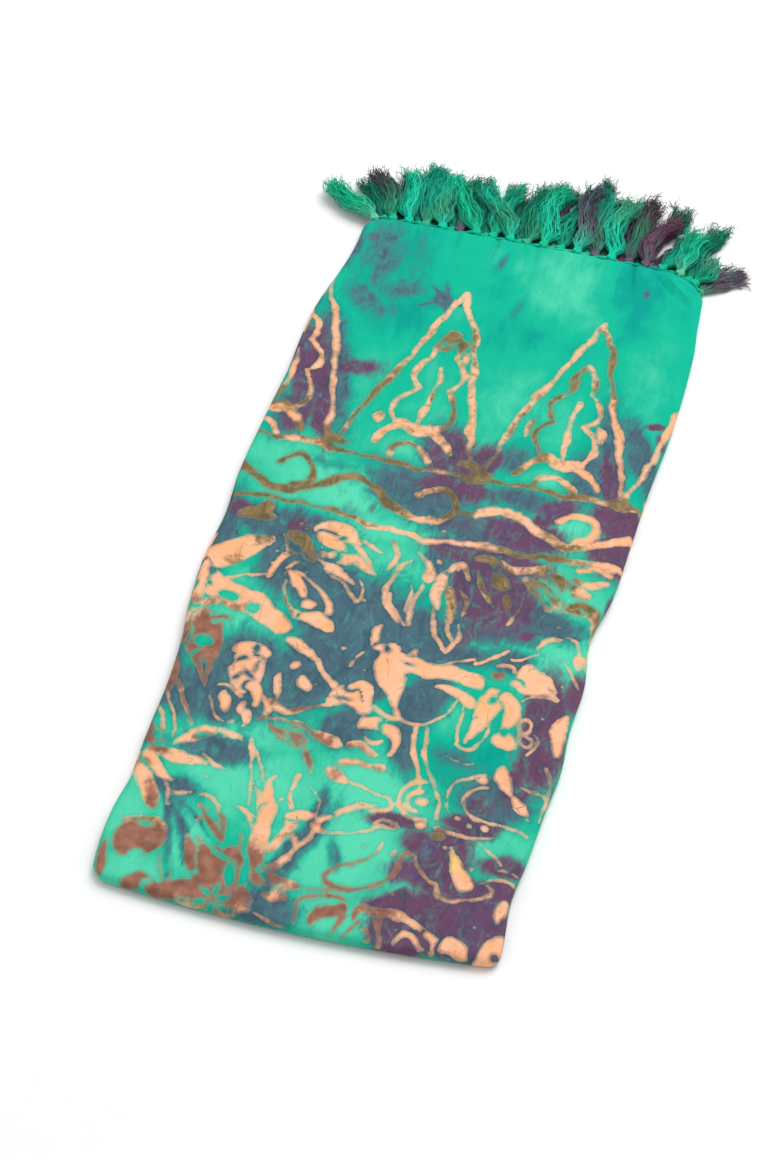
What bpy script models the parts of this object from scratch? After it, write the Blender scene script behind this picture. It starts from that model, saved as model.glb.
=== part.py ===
"""Folded sarong: a soft batik cloth with a knotted fringe, lying flat.

The cloth is folded in half twice across its width and again along its length, so it lies as a
stack of soft layers. +Y runs from the near fold to the fringed hem, +Z is up, and the stack
rests on z = 0.
"""
import math
from collections import namedtuple

import bmesh
import bpy
import numpy as np

MM = 0.001

# The folded stack, in millimetres
STACK_HEIGHT = 11.0
NEAR_END = -352.0
HEM_END = 344.0
NEAR_BOW = 8.5
NEAR_SKEW = 1.5
SIDE_REACH = 5.0
LEAST_RADIUS = 0.4
WALL = 1.2
SEAM_GAP = 0.3
FACET_ALLOWANCE = 0.2
UNDERSIDE_ALLOWANCE = 1.3
FOOT_INSET = 9.0
HEM_BOW = 1.6
HALF_WIDTH = 146.0
HALF_LENGTH = (HEM_END - NEAR_END) / 2.0
MIDDLE = (HEM_END + NEAR_END) / 2.0

# The corners seen from above: side, end, and radius in millimetres
Corner = namedtuple("Corner", "side end radius")
CORNERS = (
    Corner(-1, -1, 11.0),
    Corner(1, -1, 8.5),
    Corner(-1, 1, 16.0),
    Corner(1, 1, 36.0),
)

# Cells of the surface grid, across and along. The two outer cells of each side lie in the corners
CELLS_ACROSS = 17
CELLS_ALONG = 38
CORNER_CELLS = (11.0, 5.0)

# One row for each section across the stack, in millimetres: its place along the length, its left
# and right edges, and how far its top stands above the even height
SECTION_COLUMNS = ("along", "left", "right", "swell")
SECTIONS = (
    (-352, -140, 146, -0.6),
    (-325, -144, 145, -0.2),
    (-290, -145, 142, 0.3),
    (-255, -141, 145, 0.6),
    (-215, -143, 147, 0.2),
    (-175, -143, 150, 0.5),
    (-140, -145, 148, 0.9),
    (-95, -151, 149, 0.5),
    (-55, -153, 144, 0.7),
    (-10, -150, 151, 1.0),
    (40, -154, 153, 0.6),
    (100, -152, 155, 0.9),
    (160, -149, 159, 1.2),
    (215, -148, 160, 0.9),
    (258, -143, 159, 0.6),
    (290, -138, 157, 0.3),
    (344, -135, 153, -0.4),
)

# One row for each soft fold in the top, in millimetres: its middle, its half length and half
# width, its heading in degrees from +X, and its rise, where a trough is below zero
Fold = namedtuple("Fold", "x y length width heading rise")
FOLDS = (
    Fold(138, 215, 90, 13, 88, 1.3),
    Fold(118, 190, 80, 11, 86, -0.7),
    Fold(60, 268, 70, 16, 62, 0.8),
    Fold(-95, 120, 80, 15, 76, 0.8),
    Fold(-60, 215, 75, 16, 118, -0.7),
    Fold(20, 70, 90, 18, 20, 0.7),
    Fold(95, 5, 60, 14, 150, -0.8),
    Fold(-35, -75, 85, 18, 35, 0.8),
    Fold(110, -120, 60, 14, 72, 0.9),
    Fold(-110, -180, 65, 15, 98, 0.9),
    Fold(25, -215, 85, 16, 160, -0.7),
    Fold(-40, -300, 75, 14, 12, 0.8),
    Fold(92, -300, 50, 12, 40, -0.8),
)

# The fine ripple of the top, in millimetres: its size, the stretch of X and of Y in which its
# phase turns by one radian, and its start
Ripple = namedtuple("Ripple", "size x_stretch y_stretch start")
RIPPLES = (
    Ripple(0.35, 23.0, 61.0, 0.0),
    Ripple(0.30, -47.0, 29.0, 1.3),
)

# Layered edges below the upper leaf: one row for each layer, with the height of its middle, how
# far it stands in from the outline, and the length and size of its wander, in millimetres
Layer = namedtuple("Layer", "height inset wander_length wander")
LAYERS = (
    Layer(6.7, -0.4, 240.0, 1.1),
    Layer(4.3, 0.4, 170.0, 0.9),
    Layer(1.9, 0.1, 300.0, 1.0),
)
LAYER_HALF_HEIGHT = 0.75
LAYER_PITCH = 2.4
GROOVE_INSET = 2.3
STEADY_FROM = 60.0
STEADY_BY = 20.0
LOWEST_LAYER_INSET = 2.8
LOWEST_LAYER_HEIGHT = 0.35
FOLD_UNDERSIDE_HEIGHT = 1.5

# Where the leaf changes from a cut edge to a wrapped fold, in millimetres along the length
NEAR_WRAP_START = -285.0
RIGHT_WRAP_END = 278.0
WRAP_CHANGE = 60.0
LAYER_CHANGE = 20.0
WRAP_CLEARANCE = 40.0
CUT_TURN = 0.30
GROOVE_TURN = 0.354
WRAP_TURN = 0.77
LEAF_RINGS = 4
RINGS_UNDER_LEAF = 2

# The knotted fringe, in millimetres and degrees
HEM_SAMPLES = 300
HEM_SIDE_END = 0.85
TASSEL_COUNT = 40
ROW_ORDER = (0, 2, 1, 3)
TASSEL_PITCH = 7.2
FIRST_TASSEL = 2.0
ROW_HEAD_HEIGHT = (9.3, 7.3, 5.2, 3.2)
ROW_TIP_HEIGHT = (7.6, 5.6, 3.5, 1.4)
ROW_HEAD_INSET = (-2.9, -4.3, -4.1, -4.2)
HEAD_HALF_WIDTH = 3.0
HEAD_HALF_LENGTH = 3.6
HEAD_HALF_HEIGHT = 2.6
LOCKS_PER_TASSEL = 5
LOCK_SECTIONS = (0.0, 0.28, 0.62, 1.0)
LOCK_SIDES = 3
LOCK_ROOT_PITCH = 1.0
LOCK_TIP_PITCH = 4.1
LOCK_ROOT_HALF_WIDTH = 0.42
LOCK_HALF_WIDTH = 1.75
LOCK_HALF_HEIGHT = 0.75
LOCK_ROOT = 1.2
LOCK_TAPER = 0.55
LOCK_RAGGEDNESS = 0.08
LOCK_WAVE = 2.4
LOCK_WAVE_STRETCH = 13.0
FAN_LENGTH = 26.0
DROP_LENGTH = 40.0
WAVE_LEANS = (5.0, 3.0)
PURPLE_TASSELS = (3, 22, 30, 31, 40)

# One row for each place where the fringe changes: the tassel's number from the left, its length
# in millimetres, and its lean from +Y toward +X in degrees. The tassels between follow on evenly
FRINGE_COLUMNS = ("number", "length", "lean")
FRINGE = (
    (1, 55, -60),
    (2, 54, -34),
    (3, 59, -19),
    (4, 68, -9),
    (8, 71, 0),
    (11, 61, 0),
    (14, 68, 0),
    (17, 63, 0),
    (20, 76, 0),
    (24, 90, 1),
    (26, 77, 3),
    (30, 78, 8),
    (32, 80, 13),
    (33, 60, 13),
    (34, 48, 14),
    (36, 40, 16),
    (37, 54, 8),
    (38, 66, 2),
    (39, 34, 34),
    (40, 38, 60),
)


def clamp01(value):
    return np.clip(value, 0.0, 1.0)


def smoothstep(low, high, value):
    t = clamp01((value - low) / (high - low))
    return t * t * (3.0 - 2.0 * t)


def table_column(rows, columns, name):
    return np.array([row[columns.index(name)] for row in rows], float)


def section_value(name, along):
    """A smooth curve through one column of the section table."""
    places = table_column(SECTIONS, SECTION_COLUMNS, "along")
    values = table_column(SECTIONS, SECTION_COLUMNS, name)
    slopes = np.gradient(values, places)
    along = np.clip(along, places[0], places[-1])
    i = np.clip(np.searchsorted(places, along) - 1, 0, len(places) - 2)
    span = places[i + 1] - places[i]
    t = (along - places[i]) / span
    rise = t * t * (3.0 - 2.0 * t)
    start = t * (1.0 - t) ** 2 * span * slopes[i]
    end = t * t * (t - 1.0) * span * slopes[i + 1]
    return values[i] * (1.0 - rise) + values[i + 1] * rise + start + end


def plan_point(u, v, inset):
    """The plan position for u from -1 to 1 across and v from -1 to 1 along, inset from the edge."""
    half_width = HALF_WIDTH - inset
    half_length = HALF_LENGTH - inset
    across = u * half_width
    along = v * half_length
    moved_across = across
    moved_along = along
    for corner in CORNERS:
        r = np.maximum(corner.radius - inset, LEAST_RADIUS)
        a = clamp01((corner.side * across - half_width) / r + 1.0)
        b = clamp01((corner.end * along - half_length) / r + 1.0)
        moved_across = moved_across - corner.side * r * a * (1.0 - np.sqrt(1.0 - b * b / 2.0))
        moved_along = moved_along - corner.end * r * b * (1.0 - np.sqrt(1.0 - a * a / 2.0))
    u = moved_across / half_width
    near_share = (half_length - moved_along) / (2.0 * half_length)
    y = MIDDLE + moved_along + (NEAR_BOW * u * u + NEAR_SKEW * u) * near_share
    y = y - HEM_BOW * u * u * (1.0 - near_share)
    left = section_value("left", y) + inset
    right = section_value("right", y) - inset
    x = (left + right) / 2.0 + u * (right - left) / 2.0
    return x, y


def fold_rise(x, y):
    """The soft ridges and troughs of the top surface."""
    rise = np.zeros_like(np.asarray(x, float))
    for fold in FOLDS:
        a = math.radians(fold.heading)
        lengthwise = (x - fold.x) * math.cos(a) + (y - fold.y) * math.sin(a)
        sideways = (y - fold.y) * math.cos(a) - (x - fold.x) * math.sin(a)
        shape = -(lengthwise / fold.length) ** 2 - (sideways / fold.width) ** 2
        rise = rise + fold.rise * np.exp(shape)
    return rise


def top_height(x, y):
    """The height of the upper leaf's outer face."""
    height = STACK_HEIGHT + section_value("swell", y) + fold_rise(x, y)
    for ripple in RIPPLES:
        phase = x / ripple.x_stretch + y / ripple.y_stretch + ripple.start
        height = height + ripple.size * np.sin(phase)
    return height


def wrap_weight(x, y, lead, change):
    """1 where the upper leaf turns under at a fold, 0 where it ends in a cut edge or selvedge."""
    near_start = NEAR_WRAP_START + lead
    near = 1.0 - smoothstep(near_start - change, near_start, y)
    right_end = RIGHT_WRAP_END + lead
    right = 1.0 - smoothstep(right_end - change, right_end, y)
    return np.maximum(near, np.where(x > 0, right, 0.0))


def side_profile(turn, height, offset):
    """Inset and height on the rounded side, for turn from 0 at the shoulder to 1 underneath."""
    angle = math.pi * turn
    inset = SIDE_REACH - (SIDE_REACH - offset) * np.sin(angle)
    z = height / 2.0 + (height / 2.0 - offset) * np.cos(angle)
    return inset, z


def layer_levels(x, y):
    """Inset and height of each level down a layered edge, under the upper leaf."""
    around = y + 2.0 * x
    steady = smoothstep(HEM_END - STEADY_FROM, HEM_END - STEADY_BY, y)
    levels = []
    for layer in LAYERS:
        wave = np.sin(2.0 * math.pi * around / layer.wander_length + layer.height)
        edge = layer.inset + layer.wander * wave * (1.0 - steady)
        levels.append((edge, layer.height + LAYER_HALF_HEIGHT))
        levels.append((edge, layer.height - LAYER_HALF_HEIGHT))
        levels.append((np.full_like(edge, GROOVE_INSET), layer.height - LAYER_PITCH / 2.0))
    return levels[:-1]


def square_mesh(ring_count, close_bottom):
    """A grid over the unit square with rings of skirt below its rim, kept in a ring layer."""
    mesh = bmesh.new()
    ring_layer = mesh.verts.layers.int.new("ring")
    bmesh.ops.create_grid(mesh, x_segments=CELLS_ACROSS, y_segments=CELLS_ALONG, size=1.0)
    rim = [edge for edge in mesh.edges if edge.is_boundary]
    for ring in range(1, ring_count + 1):
        grown = bmesh.ops.extrude_edge_only(mesh, edges=rim)["geom"]
        for item in grown:
            if isinstance(item, bmesh.types.BMVert):
                item[ring_layer] = ring
        rim = [item for item in grown if isinstance(item, bmesh.types.BMEdge)
               and item.is_boundary]
    if close_bottom:
        bmesh.ops.edgeloop_fill(mesh, edges=rim)
    return mesh, ring_layer


def spread(w, cells, half_size):
    """Places even grid lines so that the outer two cells of each side lie in the corners."""
    step = 2.0 / cells
    marks = (0.0, 1.0 - 2.0 * step, 1.0 - step, 1.0)
    places = (0.0, 1.0 - CORNER_CELLS[0] / half_size, 1.0 - CORNER_CELLS[1] / half_size, 1.0)
    return np.sign(w) * np.interp(np.abs(w), marks, places)


def place_rings(mesh, ring_layer, place):
    """Moves every vertex from the unit square to its place in the stack."""
    verts = list(mesh.verts)
    u = spread(np.array([vert.co.x for vert in verts]), CELLS_ACROSS, HALF_WIDTH)
    v = spread(np.array([vert.co.y for vert in verts]), CELLS_ALONG, HALF_LENGTH)
    ring = np.array([vert[ring_layer] for vert in verts])
    points = place(u, v, ring)
    for vert, point in zip(verts, points):
        vert.co = point * MM
    bmesh.ops.recalc_face_normals(mesh, faces=mesh.faces)


def leaf_points(u, v, ring):
    """The outer face of the upper leaf: its top, and its sides turning down."""
    shoulder_x, shoulder_y = plan_point(u, v, SIDE_REACH)
    height = top_height(shoulder_x, shoulder_y)
    weight = wrap_weight(shoulder_x, shoulder_y, 0.0, WRAP_CHANGE)
    end_turn = CUT_TURN + (WRAP_TURN - CUT_TURN) * weight
    inset, z = side_profile(end_turn * ring / LEAF_RINGS, height, 0.0)
    x, y = plan_point(u, v, inset)
    return np.stack([x, y, z], axis=1)


def stack_ring_count():
    """Rings under the leaf, down the layers, and two for the underside."""
    return RINGS_UNDER_LEAF + 3 * len(LAYERS) - 1 + 2


def stack_points(u, v, ring):
    """The hidden layers: their top, smooth folded sides, and layered cut edges."""
    offset = WALL + SEAM_GAP + FACET_ALLOWANCE
    shoulder_x, shoulder_y = plan_point(u, v, SIDE_REACH)
    height = top_height(shoulder_x, shoulder_y)
    weight = wrap_weight(shoulder_x, shoulder_y, WRAP_CLEARANCE, LAYER_CHANGE)
    levels = layer_levels(shoulder_x, shoulder_y)
    first_turn = GROOVE_TURN * np.minimum(ring, RINGS_UNDER_LEAF) / RINGS_UNDER_LEAF
    inset, z = side_profile(first_turn, height, offset)
    for index, (layer_inset, layer_z) in enumerate(levels):
        share = (index + 1) / (len(levels) + 1)
        turn = GROOVE_TURN + (1.0 - GROOVE_TURN) * share
        fold_offset = offset + UNDERSIDE_ALLOWANCE * turn * turn
        fold_inset, fold_z = side_profile(turn, height, fold_offset)
        here = ring == RINGS_UNDER_LEAF + 1 + index
        inset = np.where(here, layer_inset + (fold_inset - layer_inset) * weight, inset)
        z = np.where(here, layer_z + (fold_z - layer_z) * weight, z)
    underside = ring == stack_ring_count() - 1
    under_inset = LOWEST_LAYER_INSET + (SIDE_REACH - LOWEST_LAYER_INSET) * weight
    under_z = LOWEST_LAYER_HEIGHT + (FOLD_UNDERSIDE_HEIGHT - LOWEST_LAYER_HEIGHT) * weight
    inset = np.where(underside, under_inset, inset)
    z = np.where(underside, under_z, z)
    foot = ring == stack_ring_count()
    inset = np.where(foot, FOOT_INSET, inset)
    z = np.where(foot, 0.0, z)
    x, y = plan_point(u, v, inset)
    return np.stack([x, y, z], axis=1)


def hem_outline(count):
    """Points along the hem from the left corner, around the right corner to the right side."""
    u = np.linspace(-1.0, 1.0, count)
    x, y = plan_point(u, np.ones(count), 0.0)
    side_v = np.linspace(1.0, HEM_SIDE_END, count)[1:]
    side_x, side_y = plan_point(np.ones(count - 1), side_v, 0.0)
    return np.concatenate([x, side_x]), np.concatenate([y, side_y])


def tassel_base(index):
    """Place on the hem and outward direction of one tassel, both in plan."""
    x, y = hem_outline(HEM_SAMPLES)
    step = np.hypot(np.diff(x), np.diff(y))
    travelled = np.concatenate([[0.0], np.cumsum(step)])
    here = FIRST_TASSEL + TASSEL_PITCH * index
    px = np.interp(here, travelled, x)
    py = np.interp(here, travelled, y)
    dx = np.interp(here + 1.0, travelled, x) - np.interp(here - 1.0, travelled, x)
    dy = np.interp(here + 1.0, travelled, y) - np.interp(here - 1.0, travelled, y)
    size = math.hypot(dx, dy)
    return px, py, -dy / size, dx / size


def fringe_value(name, index):
    """One column of the fringe table at a tassel."""
    numbers = table_column(FRINGE, FRINGE_COLUMNS, "number")
    return float(np.interp(index + 1, numbers, table_column(FRINGE, FRINGE_COLUMNS, name)))


def tassel_lean(index, x, row):
    """Angle of a tassel from +Y toward +X, in degrees, smooth along each row."""
    long_wave = WAVE_LEANS[0] * math.sin(x / 27.0 + 1.9 * row)
    short_wave = WAVE_LEANS[1] * math.sin(x / 61.0 + 0.8 * row)
    return fringe_value("lean", index) + long_wave + short_wave


def lock_ring(index, row, lock, share, head, lean):
    """Centre, half width and half height of one lock at a share of its length."""
    ragged = 1.0 + LOCK_RAGGEDNESS * math.sin(2.1 * index + 1.3 * lock)
    reach = LOCK_ROOT + share * fringe_value("length", index) * ragged
    fan = float(smoothstep(HEAD_HALF_LENGTH, FAN_LENGTH, reach))
    pitch = LOCK_ROOT_PITCH + (LOCK_TIP_PITCH - LOCK_ROOT_PITCH) * fan
    wave = LOCK_WAVE * fan * math.sin(reach / LOCK_WAVE_STRETCH + 2.3 * row + head[0] / 40.0)
    sideways = (lock - (LOCKS_PER_TASSEL - 1) / 2.0) * pitch + wave
    a = math.radians(lean)
    x = head[0] + reach * math.sin(a) + sideways * math.cos(a)
    y = head[1] + reach * math.cos(a) - sideways * math.sin(a)
    drop = float(smoothstep(0.0, DROP_LENGTH, reach))
    z = head[2] + (ROW_TIP_HEIGHT[row] - head[2]) * drop
    taper = 1.0 - LOCK_TAPER * share ** 3
    half_width = (LOCK_ROOT_HALF_WIDTH + (LOCK_HALF_WIDTH - LOCK_ROOT_HALF_WIDTH) * fan) * taper
    return (x, y, z), half_width, LOCK_HALF_HEIGHT * taper


def add_lock(mesh, index, row, lock, head, lean):
    """Lofts one lock of threads from its root in the knot to its tip."""
    rings = []
    side = (math.cos(math.radians(lean)), -math.sin(math.radians(lean)))
    for share in LOCK_SECTIONS:
        centre, half_width, half_height = lock_ring(index, row, lock, share, head, lean)
        ring = []
        for corner in range(LOCK_SIDES):
            angle = math.pi / 2.0 + 2.0 * math.pi * corner / LOCK_SIDES
            sideways = half_width * math.cos(angle)
            x = centre[0] + side[0] * sideways
            y = centre[1] + side[1] * sideways
            z = centre[2] + half_height * math.sin(angle)
            ring.append(mesh.verts.new((x * MM, y * MM, z * MM)))
        rings.append(ring)
    for lower, upper in zip(rings, rings[1:]):
        for corner in range(LOCK_SIDES):
            after = (corner + 1) % LOCK_SIDES
            mesh.faces.new((lower[corner], lower[after], upper[after], upper[corner]))
    mesh.faces.new(rings[0][::-1])
    mesh.faces.new(rings[-1])


def make_material(name, colour, roughness):
    material = bpy.data.materials.new(name)
    material.use_nodes = True
    shader = material.node_tree.nodes["Principled BSDF"]
    shader.inputs["Base Color"].default_value = (*colour, 1.0)
    shader.inputs["Roughness"].default_value = roughness
    shader.inputs["Metallic"].default_value = 0.0
    return material


def make_object(name, mesh, collection, material):
    """Turns a bmesh into a named, smooth-shaded object."""
    data = bpy.data.meshes.new(name)
    mesh.to_mesh(data)
    mesh.free()
    for polygon in data.polygons:
        polygon.use_smooth = True
    if material is not None:
        data.materials.append(material)
    thing = bpy.data.objects.new(name, data)
    collection.objects.link(thing)
    return thing


def make_folded_layers(collection, material):
    mesh, ring_layer = square_mesh(stack_ring_count(), close_bottom=True)
    place_rings(mesh, ring_layer, stack_points)
    return make_object("folded_layers", mesh, collection, material)


def make_upper_leaf(collection, material):
    mesh, ring_layer = square_mesh(LEAF_RINGS, close_bottom=False)
    place_rings(mesh, ring_layer, leaf_points)
    if sum(face.normal.z for face in mesh.faces) < 0:
        bmesh.ops.reverse_faces(mesh, faces=mesh.faces)
    leaf = make_object("upper_leaf", mesh, collection, material)
    wall = leaf.modifiers.new("wall", "SOLIDIFY")
    wall.thickness = WALL * MM
    wall.offset = -1.0
    wall.use_even_offset = True
    return leaf


def make_knot(mesh, head, lean):
    """A knot: a small egg of gathered cloth threads, long side along the tassel."""
    made = bmesh.ops.create_uvsphere(mesh, u_segments=8, v_segments=4, radius=1.0)
    a = math.radians(lean)
    for vert in made["verts"]:
        across = vert.co.x * HEAD_HALF_WIDTH
        up = vert.co.y * HEAD_HALF_HEIGHT
        forward = vert.co.z * HEAD_HALF_LENGTH
        x = head[0] + forward * math.sin(a) + across * math.cos(a)
        y = head[1] + forward * math.cos(a) - across * math.sin(a)
        vert.co = (x * MM, y * MM, (head[2] + up) * MM)
    bmesh.ops.recalc_face_normals(mesh, faces=mesh.faces)


def make_tassel(index, collection, cutters, material):
    """One knot with its locks, fused at their roots."""
    row = ROW_ORDER[index % len(ROW_ORDER)]
    px, py, nx, ny = tassel_base(index)
    outset = -ROW_HEAD_INSET[row]
    head = (px + nx * outset, py + ny * outset, ROW_HEAD_HEIGHT[row])
    lean = tassel_lean(index, head[0], row)
    name = "tassel_%02d" % (index + 1)
    knot_mesh = bmesh.new()
    make_knot(knot_mesh, head, lean)
    tassel = make_object(name, knot_mesh, collection, material)
    locks_mesh = bmesh.new()
    for lock in range(LOCKS_PER_TASSEL):
        add_lock(locks_mesh, index, row, lock, head, lean)
    bmesh.ops.recalc_face_normals(locks_mesh, faces=locks_mesh.faces)
    locks = make_object(name + "_locks", locks_mesh, cutters, None)
    locks.hide_render = True
    locks.display_type = "WIRE"
    fuse = tassel.modifiers.new("roots", "BOOLEAN")
    fuse.operation = "UNION"
    fuse.solver = "EXACT"
    fuse.object = locks
    return tassel


def centre_on_origin(things):
    """Moves the part so that its box is centred on X and Y and its underside is at z = 0."""
    depsgraph = bpy.context.evaluated_depsgraph_get()
    points = []
    for thing in things:
        data = thing.evaluated_get(depsgraph).data
        points.extend(vert.co.copy() for vert in data.vertices)
    points = np.array(points)
    low = points.min(axis=0)
    high = points.max(axis=0)
    shift = ((low[0] + high[0]) / 2.0, (low[1] + high[1]) / 2.0, low[2])
    for thing in bpy.data.objects:
        for vert in thing.data.vertices:
            vert.co.x -= shift[0]
            vert.co.y -= shift[1]
            vert.co.z -= shift[2]


def main():
    for thing in list(bpy.data.objects):
        bpy.data.objects.remove(thing, do_unlink=True)
    parts = bpy.data.collections.new("sarong")
    cutters = bpy.data.collections.new("cutters")
    bpy.context.scene.collection.children.link(parts)
    bpy.context.scene.collection.children.link(cutters)
    batik = make_material("batik_cloth", (0.02, 0.52, 0.36), 0.82)
    inner = make_material("inner_cloth", (0.02, 0.40, 0.29), 0.88)
    green = make_material("green_fringe", (0.02, 0.47, 0.31), 0.9)
    purple = make_material("purple_fringe", (0.12, 0.06, 0.13), 0.9)
    things = [make_folded_layers(parts, inner), make_upper_leaf(parts, batik)]
    for index in range(TASSEL_COUNT):
        material = purple if index + 1 in PURPLE_TASSELS else green
        things.append(make_tassel(index, parts, cutters, material))
    centre_on_origin(things)


main()
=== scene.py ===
import math
from collections import namedtuple

import bpy
import numpy as np
from mathutils import Matrix, Vector


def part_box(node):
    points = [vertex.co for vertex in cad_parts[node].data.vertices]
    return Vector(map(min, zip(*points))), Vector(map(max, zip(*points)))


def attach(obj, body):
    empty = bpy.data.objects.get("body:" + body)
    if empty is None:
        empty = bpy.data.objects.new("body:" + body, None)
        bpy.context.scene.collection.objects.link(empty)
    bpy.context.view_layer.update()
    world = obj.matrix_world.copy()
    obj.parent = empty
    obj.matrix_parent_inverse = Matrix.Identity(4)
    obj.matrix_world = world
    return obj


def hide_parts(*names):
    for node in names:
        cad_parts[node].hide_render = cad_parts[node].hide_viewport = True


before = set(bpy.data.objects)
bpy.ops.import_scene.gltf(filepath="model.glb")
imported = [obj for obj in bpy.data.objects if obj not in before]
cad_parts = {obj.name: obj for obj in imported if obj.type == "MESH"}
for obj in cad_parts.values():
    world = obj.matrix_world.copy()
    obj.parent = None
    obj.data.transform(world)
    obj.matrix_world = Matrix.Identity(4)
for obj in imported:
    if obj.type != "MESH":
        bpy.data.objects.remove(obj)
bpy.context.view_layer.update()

# The folded sarong's visible pieces: the batik cloth, the edges of the layers under it, and the
# knotted fringe. Lengths are in millimetres until a mesh is made
MM = 0.001


def table(columns, *rows, defaults=()):
    """A short table whose rows are read by column name."""
    row_type = namedtuple("Row", columns, defaults=defaults)
    return tuple(row_type(*row) for row in rows)


FOLD_COLUMNS = "x y length width heading rise"
WAVE_COLUMNS = "size x_stretch y_stretch start"
STROKE_COLUMNS = "x y w x2 y2 w2 x3 y3 w3"
CLOUD_COLUMNS = "x y length width heading strength"

# The folded stack
STACK_HEIGHT = 11.0
NEAR_END = -352.0
HEM_END = 344.0
NEAR_BOW = 8.5
NEAR_SKEW = 1.5
SIDE_REACH = 5.0
LEAST_RADIUS = 0.4
WALL = 1.2
LAYER_GAP = 0.5
FOLD_ALLOWANCE = 1.3
FOOT_INSET = 9.0
HEM_BOW = 1.6
HALF_WIDTH = 146.0
HALF_LENGTH = (HEM_END - NEAR_END) / 2.0
MIDDLE = (HEM_END + NEAR_END) / 2.0

# The corners seen from above: side, end, and radius
CORNERS = table(
    "side end radius",
    (-1, -1, 11.0),
    (1, -1, 8.5),
    (-1, 1, 16.0),
    (1, 1, 36.0),
)

# One row for each section across the stack: its place along the length, its left and right edges,
# and how far its top stands above the even height
SECTIONS = table(
    "along left right swell",
    (-352, -140, 146, -0.6),
    (-325, -144, 145, -0.2),
    (-290, -145, 142, 0.3),
    (-255, -141, 145, 0.6),
    (-215, -143, 147, 0.2),
    (-175, -143, 150, 0.5),
    (-140, -145, 148, 0.9),
    (-95, -151, 149, 0.5),
    (-55, -153, 144, 0.7),
    (-10, -150, 151, 1.0),
    (40, -154, 153, 0.6),
    (100, -152, 155, 0.9),
    (160, -149, 159, 1.2),
    (215, -148, 160, 0.9),
    (258, -143, 159, 0.6),
    (290, -138, 157, 0.3),
    (344, -135, 153, -0.4),
)

# Soft folds in the top: middle, half length and half width, heading from +X, and rise
FOLDS = table(
    FOLD_COLUMNS,
    (138, 215, 90, 13, 88, 1.3),
    (118, 190, 80, 11, 86, -0.7),
    (60, 268, 70, 16, 62, 0.8),
    (-95, 120, 80, 15, 76, 0.8),
    (-60, 215, 75, 16, 118, -0.7),
    (20, 70, 90, 18, 20, 0.7),
    (95, 5, 60, 14, 150, -0.8),
    (-35, -75, 85, 18, 35, 0.8),
    (110, -120, 60, 14, 72, 0.9),
    (-110, -180, 65, 15, 98, 0.9),
    (25, -215, 85, 16, 160, -0.7),
    (-40, -300, 75, 14, 12, 0.8),
    (92, -300, 50, 12, 40, -0.8),
)

# Creases and puckers too fine for the solid
CREASES = table(
    FOLD_COLUMNS,
    (-92, 331, 11, 2.2, 97, -1.6),
    (-24, 329, 17, 1.9, 86, -2.9),
    (-19, 332, 14, 2.8, 80, 1.7),
    (92, 330, 19, 1.9, 98, -2.8),
    (97, 332, 16, 2.6, 96, 1.7),
    (130, 325, 22, 2.4, 133, 1.8),
    (124, 320, 21, 2.0, 135, -2.0),
    (-52, 333, 13, 2.4, 92, 1.4),
    (-57, 331, 12, 1.9, 90, -1.6),
    (10, 333, 13, 2.2, 95, -1.7),
    (34, 334, 13, 2.4, 88, 1.4),
    (62, 333, 13, 2.0, 84, -1.8),
    (146, 300, 24, 5.0, 104, 0.8),
    (150, 240, 40, 4.0, 92, 0.6),
    (142, 180, 60, 5.0, 88, -0.6),
    (139, -60, 40, 5.0, 82, 0.6),
    (128, -60, 36, 4.0, 84, -0.5),
    (110, -330, 30, 6.0, 20, -0.5),
    (-60, 300, 34, 6.0, 82, -0.4),
    (74, 300, 34, 4.0, 94, 0.8),
    (140, 308, 22, 3.0, 124, -0.9),
    (30, 150, 60, 7.0, 70, -0.35),
    (-110, 40, 40, 7.0, 110, 0.4),
    (70, -190, 45, 6.0, 120, 0.4),
)

# The fine ripple of the top: its size, the stretch in which its phase turns by one radian, start
RIPPLES = table(
    WAVE_COLUMNS,
    (0.35, 23.0, 61.0, 0.0),
    (0.30, -47.0, 29.0, 1.3),
)

# Layered edges below the upper leaf: height of the middle, inset, wander length and size
LAYERS = table(
    "height inset wander_length wander",
    (6.7, -0.4, 240.0, 1.1),
    (4.3, 0.4, 170.0, 0.9),
    (1.9, 0.1, 300.0, 1.0),
)
LAYER_PITCH = 2.4
LEAVES_PER_LAYER = 2
GROOVE_INSET = 2.3
STEADY_FROM = 60.0
STEADY_BY = 20.0
LOWEST_LAYER_HEIGHT = 0.35
LOWEST_LAYER_INSET = 2.8
FOLD_UNDERSIDE_HEIGHT = 1.5

# Where the leaf changes from a cut edge to a wrapped fold
NEAR_WRAP_START = -285.0
RIGHT_WRAP_END = 278.0
WRAP_CHANGE = 60.0
LAYER_CHANGE = 20.0
WRAP_CLEARANCE = 40.0
CUT_TURN = 0.30
GROOVE_TURN = 0.354
WRAP_TURN = 0.77

# Cells of the two cloth meshes, and rings down their sides
CLOTH_CELLS = (190, 452)
EDGE_CELLS = (96, 228)
CLOTH_RINGS = 6
SHOULDER_SHARES = (0.0, 0.5, 1.0)
LEAST_HEIGHT = 0.15

# The rounded lip at the cloth's edge: how far onward from the edge and inward from the face
LIP = ((0.3, 0.3), (0.3, 0.9), (0.0, 1.2), (-2.5, 1.2))

# The rounded edge of each hidden leaf, and how it wanders
LIP_PARTS = (-1.0, -0.86, -0.5, 0.0, 0.5, 0.86)
LEAF_WANDER = 0.7
LEAF_WANDER_STRETCH = 21.0
LEAF_WANDER_START = 2.7
AROUND_SHARE = 2.0

# Samples of the solid leaf's outline, which give its place in the frame
OUTLINE_SAMPLES = (18, 700)


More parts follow.
